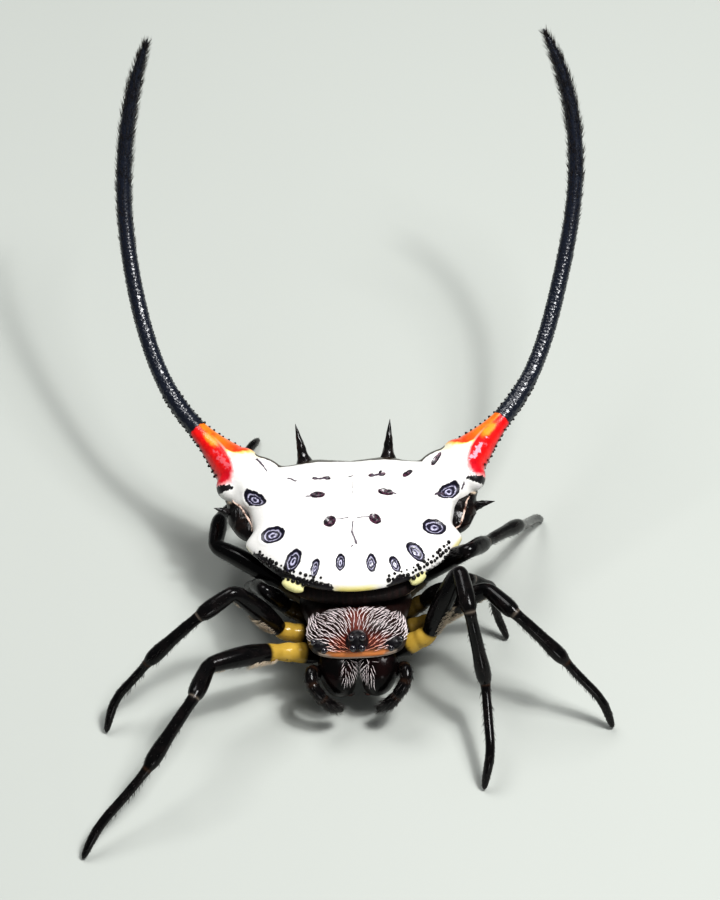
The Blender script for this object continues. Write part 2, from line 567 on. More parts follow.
def strands(roots, normals, lies, lengths, radii, lift, curl, rings=4, sink=0.02):
    """Tapered three-sided hairs.

    lift is the angle from the skin in degrees, and curl what it gains by the tip.
    """
    count = len(roots)
    lies = unit(lies - normals * np.einsum("ij,ij->i", lies, normals)[:, None])
    share = np.linspace(0, 1, rings)
    angle = np.radians(np.reshape(lift, (-1, 1)) + np.reshape(curl, (-1, 1)) * share)
    angle = np.broadcast_to(angle, (count, rings))
    ahead = np.cos(angle)[..., None] * lies[:, None] + np.sin(angle)[..., None] * normals[:, None]
    strides = (ahead[:, 1:] + ahead[:, :-1]) / 2 * (np.reshape(lengths, (-1, 1)) / (rings - 1))[..., None]
    spine = roots[:, None] - ahead[:, :1] * sink
    spine = np.concatenate([spine, spine + np.cumsum(strides, axis=1)], axis=1)
    side = np.cross(lies, normals)[:, None]
    up = np.cross(side, ahead)
    width = np.reshape(radii, (-1, 1)) * (1 - 0.92 * share ** 1.4)
    width = np.broadcast_to(width, (count, rings))
    turn = np.arange(3) * 2 * np.pi / 3 + np.pi / 2
    turn = turn[None, None, :, None]
    out = side[:, :, None] * np.cos(turn) + up[:, :, None] * np.sin(turn)
    points = spine[:, :, None] + out * width[..., None, None]
    first = (np.arange(count) * rings * 3)[:, None]
    ring, corner = np.meshgrid(np.arange(rings - 1), np.arange(3), indexing="ij")
    ring, corner = ring.ravel(), corner.ravel()
    after = (corner + 1) % 3
    quads = np.stack([first + ring * 3 + corner, first + ring * 3 + after,
                      first + ring * 3 + 3 + after, first + ring * 3 + 3 + corner], axis=-1).reshape(-1, 4)
    tip = (rings - 1) * 3
    caps = np.vstack([first + [2, 1, 0], first + [tip, tip + 1, tip + 2]])
    form = points.reshape(-1, 3)
    a, b, c = form[quads[0, 0]], form[quads[0, 1]], form[quads[0, 2]]
    if np.cross(b - a, c - a) @ (a - spine[0, 0]) < 0:
        quads, caps = quads[:, ::-1], caps[:, ::-1]
    return form, [quads, caps]


def coat(name, form, unwrapped, finish, slot):
    """A piece of hairs. unwrapped holds each root's place on an unwrap of the skin, from 0 to 1."""
    points, faces = form
    made = piece(name, points, faces, finish, slot)
    layer = made.data.uv_layers.new(name=BAKE_MAP)
    share = np.linspace(0, 1, len(points) // (3 * len(unwrapped)))
    ring, corner = np.meshgrid(share, np.arange(3) / 3, indexing="ij")
    offsets = np.stack([ring.ravel(), corner.ravel()], axis=1) * PATCH
    spots = (unwrapped[:, None] * (1 - PATCH) + offsets[None]).reshape(-1, 2)
    corners = np.zeros(len(made.data.loops), np.int32)
    made.data.loops.foreach_get("vertex_index", corners)
    layer.data.foreach_set("uv", spots[corners].astype(np.float32).ravel())
    return made


# Finishes

WHITE = (0.83, 0.82, 0.79)
YELLOW = (0.80, 0.70, 0.22)
INK = (0.010, 0.008, 0.010)
SHAKE = 0.09                     # how far the drawn marks stray
ENDLESS = 1e4                    # a half size that takes in everything


def connect(tree, node, inputs):
    """Gives a node's inputs values or other nodes' outputs."""
    for key, value in inputs.items():
        if isinstance(value, bpy.types.NodeSocket):
            tree.links.new(value, node.inputs[key])
        else:
            node.inputs[key].default_value = value


def add(tree, kind, inputs=None, **settings):
    """A node with its settings, and inputs that are values or other nodes' outputs."""
    node = tree.nodes.new(kind)
    for key, value in settings.items():
        setattr(node, key, value)
    connect(tree, node, inputs or {})
    return node


def calc(tree, operation, *inputs):
    """What a Math node makes of values or other nodes' outputs."""
    return add(tree, "ShaderNodeMath", dict(enumerate(inputs)), operation=operation).outputs[0]


def vector_calc(tree, operation, *inputs):
    """The same with vectors."""
    node = add(tree, "ShaderNodeVectorMath", dict(enumerate(inputs)), operation=operation)
    return node.outputs["Value" if operation == "LENGTH" else "Vector"]


def step(tree, value, start, end):
    """0 before start and 1 after end, with a smooth step between; start may be above end."""
    node = add(tree, "ShaderNodeMapRange", {"Value": value, "From Min": start, "From Max": end},
               interpolation_type="SMOOTHSTEP")
    return node.outputs[0]


def mix(tree, share, a, b):
    """A colour that goes from a to b with share."""
    a, b = (value if isinstance(value, bpy.types.NodeSocket) else (*value, 1.0) for value in (a, b))
    return add(tree, "ShaderNodeMix", {0: share, 6: a, 7: b}, data_type="RGBA").outputs[2]


def ramp(tree, share, stops):
    """A colour that runs through the stops with share."""
    node = add(tree, "ShaderNodeValToRGB", {"Fac": share})
    elements = node.color_ramp.elements
    while len(elements) < len(stops):
        elements.new(0.5)
    for element, (place, colour) in zip(elements, stops):
        element.position = place
        element.color = (*colour, 1.0)
    return node.outputs[0]


def mark(tree, name):
    """A value that the mesh holds at each point."""
    return add(tree, "ShaderNodeAttribute", attribute_name=name).outputs["Fac"]


def place_in_mm(tree):
    """Each point's place in the working frame, in millimetres."""
    source = add(tree, "ShaderNodeTexCoord").outputs["Object"]
    return vector_calc(tree, "SUBTRACT", vector_calc(tree, "MULTIPLY", source, (1 / MM,) * 3), tuple(SHIFT))


def noise(tree, place, size, detail=2.0):
    """Soft noise from 0 to 1 with features of about size millimetres."""
    inputs = {"Vector": place, "Scale": 1 / size, "Detail": detail}
    return add(tree, "ShaderNodeTexNoise", inputs).outputs["Fac"]


def uneven(tree, place, value, size, spread, detail=2.0):
    """A value, with spread times soft noise added."""
    return calc(tree, "MULTIPLY_ADD", noise(tree, place, size, detail), spread, value)


def mottled(tree, place, a, b, size, start, end, detail=3.0):
    """Colour a, with b where soft noise goes from start to end."""
    return mix(tree, step(tree, noise(tree, place, size, detail), start, end), a, b)


def local(tree, place, middle, turn, size):
    """The place seen from a middle, turned about Z, in units of size along each axis."""
    inputs = {"Vector": place, "Location": middle, "Rotation": (0.0, 0.0, turn), "Scale": size}
    return add(tree, "ShaderNodeMapping", inputs, vector_type="TEXTURE").outputs[0]


def spot(tree, place, x, y, z, half_length, half_width, half_height, degrees):
    """Distance from the middle of an egg-shaped spot, 1 on its edge."""
    size = (half_length, half_width, half_height)
    return vector_calc(tree, "LENGTH", local(tree, place, (x, y, z), math.radians(degrees), size))


def oval(tree, place, x, y, half_length, half_width, degrees):
    """Distance from the middle of an oval seen from above, 1 on its edge."""
    return spot(tree, place, x, y, 0.0, half_length, half_width, ENDLESS, degrees)


def stroke(tree, place, start, end, half_width):
    """Distance from a short line seen from above, 1 at its edge."""
    (x0, y0), (x1, y1) = start, end
    middle, turn = ((x0 + x1) / 2, (y0 + y1) / 2, 0.0), math.atan2(y1 - y0, x1 - x0)
    away = vector_calc(tree, "ABSOLUTE", local(tree, place, middle, turn, (1.0, 1.0, ENDLESS)))
    away = vector_calc(tree, "SUBTRACT", away, (math.hypot(x1 - x0, y1 - y0) / 2, 0.0, 0.0))
    away = vector_calc(tree, "MAXIMUM", away, (0.0,) * 3)
    return calc(tree, "DIVIDE", vector_calc(tree, "LENGTH", away), half_width)


def oval_of(tree, u, v, u_middle, v_middle, u_half, v_half):
    """Distance from an oval's middle in two given measures, 1 on its edge."""
    across, along_it = (calc(tree, "DIVIDE", calc(tree, "SUBTRACT", value, middle), half)
                        for value, middle, half in ((u, u_middle, u_half), (v, v_middle, v_half)))
    squares = (calc(tree, "POWER", value, 2.0) for value in (across, along_it))
    return calc(tree, "SQRT", calc(tree, "ADD", *squares))


def least(tree, values):
    """The least of several values."""
    best = values[0]
    for value in values[1:]:
        best = calc(tree, "MINIMUM", best, value)
    return best


def blank(name):
    """A new material, its node tree and the place of each point."""
    made = bpy.data.materials.new(name)
    made.use_nodes = True
    return made, made.node_tree, place_in_mm(made.node_tree)


def finished(made, colour, roughness, height=None, depth=0.01, specular=0.5, coat=0.0, coat_roughness=0.03):
    """A material with its colour, its gloss and a bump of depth millimetres."""
    tree = made.node_tree
    inputs = {"Base Color": colour, "Roughness": roughness, "Specular IOR Level": specular,
              "Coat Weight": coat, "Coat Roughness": coat_roughness}
    if height is not None:
        bump = add(tree, "ShaderNodeBump", {"Height": height, "Strength": 1.0, "Distance": depth * MM})
        inputs["Normal"] = bump.outputs[0]
    connect(tree, tree.nodes["Principled BSDF"], inputs)
    return made


def plate_finish():
    """The white plate with its ringed pits, lines and margins, and the red roots of the horns."""
    made, tree, place = blank("plate")
    white = mix(tree, noise(tree, place, 0.9), WHITE, (0.80, 0.78, 0.75))
    white = mottled(tree, place, white, (0.74, 0.70, 0.72), 0.35, 0.62, 0.75, 4.0)
    colour = draw_pits(tree, place, white)
    colour = draw_margins(tree, place, colour)
    colour = draw_horn_roots(tree, place, colour)
    height = uneven(tree, place, noise(tree, place, 0.05, 3.0), 0.4, 2.0)
    roughness = uneven(tree, place, 0.22, 0.3, 0.2)
    return finished(made, colour, roughness, height, 0.006, specular=0.35, coat=0.25, coat_roughness=0.10)


def draw_pits(tree, place, white):
    """The yellow rear edge, the ringed and plain pits and the fine lines, all a little shaky."""
    wobble = add(tree, "ShaderNodeTexNoise", {"Vector": place, "Scale": 6.0, "Detail": 2.0})
    wobble = vector_calc(tree, "SUBTRACT", wobble.outputs["Color"], (0.5,) * 3)
    drawn = vector_calc(tree, "MULTIPLY_ADD", wobble, (SHAKE,) * 3, place)
    yellow_edge = calc(tree, "MULTIPLY", step(tree, mark(tree, "edge"), 0.972, 1.0), mark(tree, "yellow"))
    colour = mix(tree, yellow_edge, white, YELLOW)
    ring = least(tree, [oval(tree, drawn, *row) for row in RINGED])
    inked = calc(tree, "MULTIPLY", step(tree, noise(tree, place, 0.09, 3.0), 0.50, 0.62), 0.70)
    rings = mix(tree, inked, ramp(tree, ring, PIT_COLOURS), (0.012, 0.010, 0.03))
    colour = mix(tree, step(tree, ring, 1.05, 0.97), colour, rings)
    plain = least(tree, [oval(tree, drawn, *row) for row in PLAIN])
    inside = mottled(tree, place, (0.012, 0.007, 0.012), (0.10, 0.03, 0.06), 0.08, 0.48, 0.66, 2.0)
    colour = mix(tree, step(tree, plain, 1.12, 0.94), colour, inside)
    lines = least(tree, [stroke(tree, drawn, *row) for row in STROKES])
    return mix(tree, step(tree, lines, 1.5, 0.8), colour, (0.07, 0.05, 0.07))


def draw_margins(tree, place, colour):
    """The black front margins with their yellow lobes, and the dark rear."""
    border = uneven(tree, place, mark(tree, "front"), 0.10, 0.044, 3.0)
    colour = mix(tree, step(tree, border, 0.018, 0.026), colour, INK)
    behind = uneven(tree, place, mark(tree, "rear"), 0.25, 0.5)
    colour = mix(tree, step(tree, behind, 0.80, 0.95), colour, (0.030, 0.020, 0.012))
    lobe = least(tree, [spot(tree, place, *row) for row in LOBES])
    return mix(tree, mark(tree, "lobe"), colour, ramp(tree, lobe, LOBE_COLOURS))


def draw_horn_roots(tree, place, colour):
    """Orange above and crimson outside, by the length s along the horn and the turn outer from the top."""
    s, outer = mark(tree, "horn"), mark(tree, "outer")
    mottle = noise(tree, place, 0.16, 4.0)
    crimson = mix(tree, step(tree, mottle, 0.35, 0.65), (0.66, 0.003, 0.006), (0.82, 0.010, 0.008))
    wine = mix(tree, mottle, (0.34, 0.002, 0.016), (0.60, 0.004, 0.030))
    crimson = mix(tree, step(tree, s, 0.45, -0.35), crimson, wine)
    crimson = mix(tree, step(tree, outer, 1.3, 1.9), crimson, (0.22, 0.004, 0.010))
    orange = mix(tree, step(tree, s, 0.35, 1.2), (0.84, 0.050, 0.008), (0.90, 0.20, 0.012))
    orange = mix(tree, step(tree, mottle, 0.45, 0.75), orange, (0.90, 0.11, 0.010))
    red = mix(tree, step(tree, outer, -0.05, 0.16), orange, crimson)
    blotch = calc(tree, "MULTIPLY_ADD", mottle, 0.8, oval_of(tree, s, outer, 1.28, 0.26, 0.36, 0.34))
    red = mix(tree, step(tree, blotch, 1.7, 0.8), red, (0.93, 0.30, 0.020))

    # A pale bloom on the crimson, and a pale ridge where it meets the orange
    bloom = uneven(tree, place, oval_of(tree, s, outer, 0.45, 0.62, 0.75, 0.30), 0.11, 2.2, 4.0)
    lit = calc(tree, "MULTIPLY", step(tree, bloom, 1.75, 1.35), mark(tree, "bloom"))
    red = mix(tree, lit, red, (0.86, 0.46, 0.56))
    ridge = calc(tree, "MULTIPLY_ADD", s, 0.36, -0.35)
    ridge = calc(tree, "ABSOLUTE", calc(tree, "ADD", outer, ridge))
    ridge = calc(tree, "MULTIPLY", step(tree, ridge, 0.10, 0.03), step(tree, s, 1.5, 0.5))
    red = mix(tree, calc(tree, "MULTIPLY", ridge, 0.55), red, (0.90, 0.55, 0.48))

    # Where the red starts and ends
    fade = calc(tree, "SUBTRACT", s, mark(tree, "red_from"))
    fade = calc(tree, "MULTIPLY_ADD", calc(tree, "SUBTRACT", mottle, 0.5), 0.22, fade)
    glow = mix(tree, step(tree, outer, 0.05, 0.30), (0.92, 0.55, 0.14), (0.85, 0.30, 0.30))
    colour = mix(tree, step(tree, fade, -0.14, 0.0), colour, glow)
    colour = mix(tree, step(tree, fade, -0.02, 0.10), colour, red)
    speck = calc(tree, "ADD", mark(tree, "collar"), noise(tree, place, 0.08, 3.0))
    colour = mix(tree, step(tree, speck, 0.98, 1.10), colour, INK)
    tip = uneven(tree, place, s, 0.12, 0.16, 3.0)
    return mix(tree, step(tree, tip, HORN_RED + 0.02, HORN_RED + 0.08), colour, (0.010, 0.011, 0.016))


def shell_finish(name, dark, light, roughness, size=0.25, bump=0.004, coat=0.4, specular=0.12):
    """A hard, glossy shell of two near colours with a fine grain."""
    made, tree, place = blank(name)
    colour = mottled(tree, place, dark, light, size, 0.35, 0.7)
    rough = uneven(tree, place, roughness - 0.08, size / 2, 0.16)
    height = uneven(tree, place, noise(tree, place, 0.03), 0.12, 2.0)
    return finished(made, colour, rough, height, bump, specular, coat, 0.06)


def horn_finish():
    """Black with a bluish sheen, over fine rows of granules."""
    made, tree, place = blank("horn_black")
    colour = mix(tree, noise(tree, place, 0.2, 3.0), (0.004, 0.005, 0.010), (0.008, 0.012, 0.024))
    rough = uneven(tree, place, 0.18, 0.08, 0.2)
    height = noise(tree, place, 0.03)
    return finished(made, colour, rough, height, 0.004, coat=0.3, coat_roughness=0.15)


def leg_finish():
    """Glossy black shell, honey-coloured hips, brown joints and pale lines."""
    made, tree, place = blank("leg_shell")
    colour = mottled(tree, place, (0.003, 0.0028, 0.003), (0.008, 0.006, 0.006), 0.3, 0.4, 0.75)
    honey = mix(tree, noise(tree, place, 0.25), (0.42, 0.26, 0.040), (0.58, 0.39, 0.075))
    colour = mix(tree, mark(tree, "honey"), colour, honey)
    colour = mix(tree, mark(tree, "brown"), colour, (0.075, 0.035, 0.018))
    colour = mix(tree, mark(tree, "pale"), colour, (0.45, 0.37, 0.30))
    rough = uneven(tree, place, 0.10, 0.15, 0.14)
    height = uneven(tree, place, noise(tree, place, 0.03), 0.15, 2.5)
    return finished(made, colour, rough, height, 0.004, specular=0.10, coat=0.24, coat_roughness=0.05)


def head_finish():
    """Dark brown shell, redder along the middle and behind the eyes, orange above the jaws."""
    made, tree, place = blank("head_shell")
    colour = mix(tree, noise(tree, place, 0.3, 3.0), (0.006, 0.004, 0.004), (0.024, 0.009, 0.007))
    colour = mix(tree, mark(tree, "red"), colour, (0.15, 0.022, 0.012))
    colour = mix(tree, mark(tree, "orange"), colour, (0.80, 0.28, 0.085))
    colour = mix(tree, mark(tree, "lip"), colour, (0.80, 0.66, 0.56))
    colour = mix(tree, mark(tree, "black"), colour, (0.006, 0.005, 0.007))
    rough = uneven(tree, place, 0.30, 0.2, 0.2)
    height = calc(tree, "ADD", noise(tree, place, 0.04), noise(tree, place, 0.15))
    return finished(made, colour, rough, height, 0.008, specular=0.22, coat=0.06, coat_roughness=0.15)


def belly_finish():
    """Black folded skin, with a dull, finely striped front and cream folds."""
    made, tree, place = blank("belly_shell")
    colour = mottled(tree, place, (0.004, 0.003, 0.003), (0.016, 0.008, 0.006), 0.35, 0.45, 0.75)
    stretched = vector_calc(tree, "MULTIPLY", place, (9.0, 1.0, 0.8))
    lines = step(tree, noise(tree, stretched, 1.0), 0.42, 0.7)
    front = mix(tree, lines, (0.005, 0.0025, 0.002), (0.018, 0.006, 0.005))
    colour = mix(tree, mark(tree, "front"), colour, front)
    colour = mix(tree, mark(tree, "cream"), colour, (0.62, 0.50, 0.38))
    rough = calc(tree, "MULTIPLY_ADD", mark(tree, "front"), 0.5, 0.14)
    rough = uneven(tree, place, rough, 0.2, 0.12)
    height = calc(tree, "ADD", lines, noise(tree, place, 0.06))
    return finished(made, colour, rough, height, 0.008, specular=0.30, coat=0.06, coat_roughness=0.06)


def cord_finish():
    """Cream, darker and browner in places."""
    made, tree, place = blank("cord")
    colour = mottled(tree, place, (0.62, 0.46, 0.38), (0.10, 0.045, 0.03), 0.12, 0.48, 0.66)
    return finished(made, colour, 0.3, noise(tree, place, 0.05), 0.006, coat=0.3)


def hair_finish(name, dark, light, roughness=0.45, warm=None):
    """Hairs of two near colours; warm is a third, for those by the eye knob."""
    made, tree, place = blank(name)
    colour = mix(tree, noise(tree, place, 0.12), dark, light)
    if warm:
        near = uneven(tree, place, spot(tree, place, 0.0, -1.45, 2.86, 0.95, 0.75, 0.45, 0.0), 0.15, 0.8)
        colour = mix(tree, calc(tree, "MULTIPLY", step(tree, near, 1.45, 0.95), 0.85), colour, warm)
    return finished(made, colour, roughness, noise(tree, place, 0.02), 0.001)


def eye_finish():
    """Black and very glossy."""
    made, tree, place = blank("eye_black")
    colour = mix(tree, noise(tree, place, 0.08), (0.004, 0.004, 0.007), (0.014, 0.010, 0.016))
    return finished(made, colour, uneven(tree, place, 0.03, 0.1, 0.05), coat=1.0, coat_roughness=0.02)


# Horns and shield

def horn_path(side):
    """Gives a function from lengths along a horn, from its root, to points."""
    steps = 60
    turns = list(zip(HORN_TURNS, HORN_OUTWARD[side]))
    share = (np.arange(steps) + 0.5) / steps
    outward = np.radians(along(turns, share)[:, 0])
    up = np.radians(HORN_RISE[0] + (HORN_RISE[1] - HORN_RISE[0]) * share)
    way = np.stack([SIDES[side] * np.sin(outward), np.cos(outward) * np.cos(up),
                    np.cos(outward) * np.sin(up)], axis=1)
    run = np.cumsum(way, axis=0) * HORN_LENGTH / steps
    corners = mirrored(HORN_ROOT, side) + np.vstack([np.zeros(3), run])

    def at(length):
        place = np.asarray(length, float) / HORN_LENGTH * steps
        i = np.clip(np.floor(place).astype(int), 0, steps - 1)
        return corners[i] + (corners[i + 1] - corners[i]) * (place - i)[..., None]

    return at


def horn_ways(side, ahead):
    """For ways along a horn, two ways square to each: the one that faces up and the one outside."""
    up = unit(upward(ahead))
    across = np.cross(ahead, up)
    return up, across * np.sign(across[:, :1]) * SIDES[side]


def horn_place(side, points):
    """For points near a horn: the length along it, the distance from it and the turn outwards."""
    at = horn_path(side)
    lengths = np.linspace(-1.6, 2.6, 85)       # from inside the body to past the red root
    line = at(lengths)
    away = np.linalg.norm(points[:, None] - line[None], axis=2)
    nearest = away.argmin(axis=1)
    ahead = unit(np.gradient(line, axis=0))[nearest]
    offset = points - line[nearest]
    s = lengths[nearest] + np.einsum("ij,ij->i", offset, ahead)
    up, outer = horn_ways(side, ahead)
    turn = np.arctan2(np.einsum("ij,ij->i", offset, outer), np.einsum("ij,ij->i", offset, up))
    return s, away.min(axis=1), turn


def shield_outline(turn):
    """The shield seen from above, across and towards the rear, each from -1 to 1."""
    across, ahead = np.cos(turn), np.sin(turn)
    power = 2 / np.where(ahead > 0, BACK_SQUARENESS, FRONT_SQUARENESS)
    return signed(across, power), signed(ahead, power)


def shield_place(turn, rise):
    """The plate: a low dome, drawn in at each side round a black shoulder."""
    across, ahead = shield_outline(turn)
    reach = np.sqrt(np.maximum(0.0, 1 - rise * rise))
    x = SHIELD_HALF_WIDTH * across * reach
    back = SHIELD_BACK * along(REAR_REACH, np.abs(x))[:, 0]
    y = SHIELD_MIDDLE + np.where(ahead > 0, back, SHIELD_FRONT) * ahead * reach
    middle, half, cut = SIDE_NOTCH
    x = x * (1 - cut * reach ** 4 * bell(y, middle, half, 4))
    middle, half, cut = LEFT_CUT
    x = x * (1 - cut * reach ** 4 * bell(y, middle, half) * (x < 0))
    rim = RIM_SIDE + (np.where(ahead > 0, RIM_BACK, RIM_FRONT) - RIM_SIDE) * ahead ** 2
    base = RIM_BACK + (rim - RIM_BACK) * reach ** 2
    return np.stack([x, y, base + np.where(rise > 0, CROWN, PLATE) * rise], axis=1)


def edge_share(points):
    """How near a point of the plate is to its outline in plan, which is at 1."""
    x, y = np.abs(points[:, 0]), points[:, 1] - SHIELD_MIDDLE

    def share(length, power):
        return ((x / SHIELD_HALF_WIDTH) ** power + (np.abs(y) / length) ** power) ** (1 / power)

    back = share(SHIELD_BACK * along(REAR_REACH, x)[:, 0], BACK_SQUARENESS)
    return np.where(y < 0, share(SHIELD_FRONT, FRONT_SQUARENESS), back)


def oval_share(points, x, y, half_length, half_width, degrees):
    """Distance of points from the middle of an oval in plan, 1 on its edge."""
    turn = math.radians(degrees)
    dx, dy = points[:, 0] - x, points[:, 1] - y
    u = (dx * math.cos(turn) + dy * math.sin(turn)) / half_length
    v = (dy * math.cos(turn) - dx * math.sin(turn)) / half_width
    return np.hypot(u, v)


def press_pits(points, faces):
    """Sinks the pits into the plate, each ringed one with a rim and a knob, and ridges its rear edge."""
    normals = point_normals(points, faces)
    top = ease(normals[:, 2], 0.1, 0.4)
    depth = np.zeros(len(points))
    for row in RINGED:
        near = oval_share(points, *row)
        depth -= PIT_DEPTH * (1 - ease(near, 0.45, 1.0))
        depth += PIT_RIM * bell(near, 1.12, 0.16)
        depth += PIT_KNOB * bell(near, 0, 0.35)
    for row in PLAIN:
        near = oval_share(points, *row)
        depth -= min(0.06, row[3] * 0.4) * (1 - ease(near, 0.3, 1.1))
    edge = edge_share(points)
    rear = REAR_RIDGE * ease(points[:, 1], 4.15, 4.35) * ease(np.abs(points[:, 0]), 2.1, 1.6)
    ridges = bell(edge, 0.955, 0.018) + 0.7 * bell(edge, 0.895, 0.014)
    depth += rear * ridges
    depth -= rear * bell(edge, 0.925, 0.010)
    return points + normals * (depth * top)[:, None]


def plate_marks(points, normals):
    """Values at each point that the plate's finish reads."""
    x, y, z = points.T
    wide = np.abs(x)
    own_edge = edge_share(points)
    edge = np.maximum(own_edge, 1.02 * ease(z, 3.92, 3.72) * ease(y, 3.0, 2.4))
    front = (edge - along(BLACK_FROM, x)[:, 0]) * ease(y, 1.9, 1.6) - 0.05 * ease(y, 1.6, 1.9)
    front = np.maximum(front, 0.05 * ease(z, 3.90, 3.80) * ease(y, 3.2, 2.6) - 0.02)
    yellow = np.maximum(ease(wide, 0.85, 0.35) * ease(y, 1.0, 0.2),
                        0.9 * ease(wide, 2.8, 3.0) * ease(y, 2.2, 1.8))
    yellow = np.maximum(yellow, 0.35 * ease(y, 4.2, 4.5))

    # The dark rear, which reaches higher between midline and corners, and round each rear spine
    behind = normals[:, 1] * 0.669 - normals[:, 2] * 0.743
    higher = 0.10 * ease(wide, 1.0, 1.3) * ease(wide, 2.9, 2.7)
    rear = ease(behind, -0.42 - higher, -0.30 - higher) * ease(y, 3.9, 4.2) * ease(wide, 3.0, 2.8)
    for side, (root, *_) in REAR_SPINE.items():
        away = np.hypot((x - SIDES[side] * root[0]) / 1.6, y - root[1] - 0.08)
        rear = np.maximum(rear, ease(away, 0.32, 0.24) * ease(normals[:, 2], 0.95, 0.85))
    lobe = np.zeros(len(points))
    for lx, ly, lz, *half, degrees in LOBES:
        away = oval_share(points, lx, ly, half[0] + 0.04, half[1] + 0.06, degrees)
        lobe = np.maximum(lobe, ease(np.hypot(away, (z - lz) / (half[2] + 0.05)), 1.08, 0.98))
    lobe = lobe * ease(own_edge, 0.985, 1.0)

    # Along the horns' roots and round them; -9 is off the horns
    horn, outer = np.full(len(points), -9.0), np.zeros(len(points))
    for side in SIDES:
        own = np.nonzero((x * SIDES[side] > 2.0) & (y > 2.6))[0]
        s, away, turn = horn_place(side, points[own])
        near = away < np.where(s < 0, 1.25, 1.1)
        horn[own[near]] = s[near]
        outer[own[near]] = turn[near]
    start = along(RED_START, outer)[:, 0]
    collar = bell(horn - start, -0.16, 0.17) * ease(outer, 0.85, 1.25)
    return {"edge": edge, "front": front, "rear": rear, "yellow": yellow, "lobe": lobe, "horn": horn,
            "outer": outer, "red_from": start, "collar": collar, "bloom": np.where(x > 0, 0.8, 0.25)}


def make_plate(finish):
    """The shield and the red base of each horn, grown together and then parted at the horns' roots."""
    forms = [closed_form(shield_place, 200, 80)] + [turned_egg(*row) for row in LOBES]
    for side in SIDES:
        forms.append(ellipsoid(mirrored(HEEL[0], side), HEEL[1]))
        forms += [mirrored_egg(row, side) for row in WEBS]
        lengths = np.linspace(-HORN_SUNK, HORN_RED + 0.25, 60)
        forms.append(tube(horn_path(side)(lengths), along(HORN_RADIUS, lengths)[:, 0], 40))
    points, faces = fuse(forms, 0.045)
    near = np.zeros(len(points))
    for side in SIDES:
        s, away, _ = horn_place(side, points)
        near = np.maximum(near, bell(s, -0.35, 0.6) * ease(away, 1.7, 1.2))
    points = relax(points, faces, 60, 0.5 * near, only_out=True)
    points = relax(points, faces, 3, 0.4)
    points = press_pits(points, faces)
    normals = point_normals(points, faces)
    marks = plate_marks(points, normals)
    quads = faces[0]
    horn = marks["horn"][quads].mean(axis=1)
    groups = {"shield": horn < -0.02}
    for side in SIDES:
        groups["horn_%s_base" % side] = (horn >= -0.02) & (points[quads[:, 0], 0] * SIDES[side] > 0)
    for name, chosen in groups.items():
        used, renumbered = np.unique(quads[chosen], return_inverse=True)
        renumbered = renumbered.reshape(-1, 4)
        part_points, caps = closed_ends(points[used], renumbered)
        extra = len(part_points) - len(used)
        values = {key: np.append(value[used], np.full(extra, value[used].mean()))
                  for key, value in marks.items()}
        slot = "shield_plate" if name == "shield" else "horn_base"
        made = piece(name + "_skin", part_points, [renumbered] + caps, finish, slot, [name], values)
        kept = np.vstack([normals[used], np.tile(UP, (extra, 1))])
        made.data.normals_split_custom_set_from_vertices(kept)
    return points, faces


def closed_ends(points, quads):
    """Closes each open end of a skin with a fan that has points of its own."""
    edges = np.vstack([quads[:, [i, (i + 1) % 4]] for i in range(4)])
    known = {tuple(edge) for edge in edges}
    after = {b: a for a, b in known if (b, a) not in known}
    points, fans = list(points), []
    while after:
        start, loop = next(iter(after)), []
        here = start
        while here in after:
            loop.append(here)
            here = after.pop(here)
        first = len(points)
        points += [points[i] for i in loop] + [np.mean([points[i] for i in loop], axis=0)]
        middle = first + len(loop)
        fans += [(first + i, first + (i + 1) % len(loop), middle) for i in range(len(loop))]
    return np.array(points), ([np.array(fans)] if fans else [])


def make_horn_shaft(side, finish):
    """The black shaft, beset with fine granules in slanting rows."""
    start = HORN_RED - 0.03
    lengths = np.linspace(start, HORN_LENGTH, 520)
    radii = along(HORN_RADIUS, lengths)[:, 0]
    radii[0] *= 0.9
    rng = np.random.default_rng(5 + SIDES[side])
    rows = int(HORN_LENGTH / GRANULE_PITCH) + 3
    jitter = rng.uniform(-0.28, 0.28, (rows, GRANULE_COLUMNS, 2))
    size = rng.uniform(0.55, 1.0, (rows, GRANULE_COLUMNS))

    def relief(shares, turns):
        u = (start + shares * (HORN_LENGTH - start)) / GRANULE_PITCH
        v = turns / (2 * np.pi) * GRANULE_COLUMNS
        rise = np.zeros_like(u)
        for du in (-1, 0, 1):
            row = np.floor(u).astype(int) + du
            shift = 0.5 * (row % 2)
            for dv in (-1, 0, 1):
                column = np.floor(v - shift).astype(int) + dv
                r, c = np.clip(row, 0, rows - 1), column % GRANULE_COLUMNS
                away = ((u - row - 0.5 - jitter[r, c, 0]) ** 2
                        + (v - shift - column - 0.5 - jitter[r, c, 1]) ** 2)
                rise = np.maximum(rise, size[r, c] * np.exp(-away / 0.075))
        fade = ease(shares, 0.0, 0.01) * (1 - 0.75 * ease(shares, 0.25, 0.6))
        return GRANULE_RISE * rise * fade

    points, faces = tube(horn_path(side)(lengths), radii, 56, relief)
    names = ["horn_%s_%s" % (side, part) for part in ("shaft", "tip")]
    piece("horn_%s_shaft_skin" % side, points, faces, finish, "horn_shaft", names)


def around_horn(side, lengths, turns):
    """Points on a horn's skin, the way out of it and the way along it. A turn of 0 faces up."""
    at = horn_path(side)
    ahead = unit(at(lengths + 0.05) - at(lengths - 0.05))
    up, outer = horn_ways(side, ahead)
    out = up * np.cos(turns)[:, None] + outer * np.sin(turns)[:, None]
    return at(lengths) + out * along(HORN_RADIUS, lengths), out, ahead


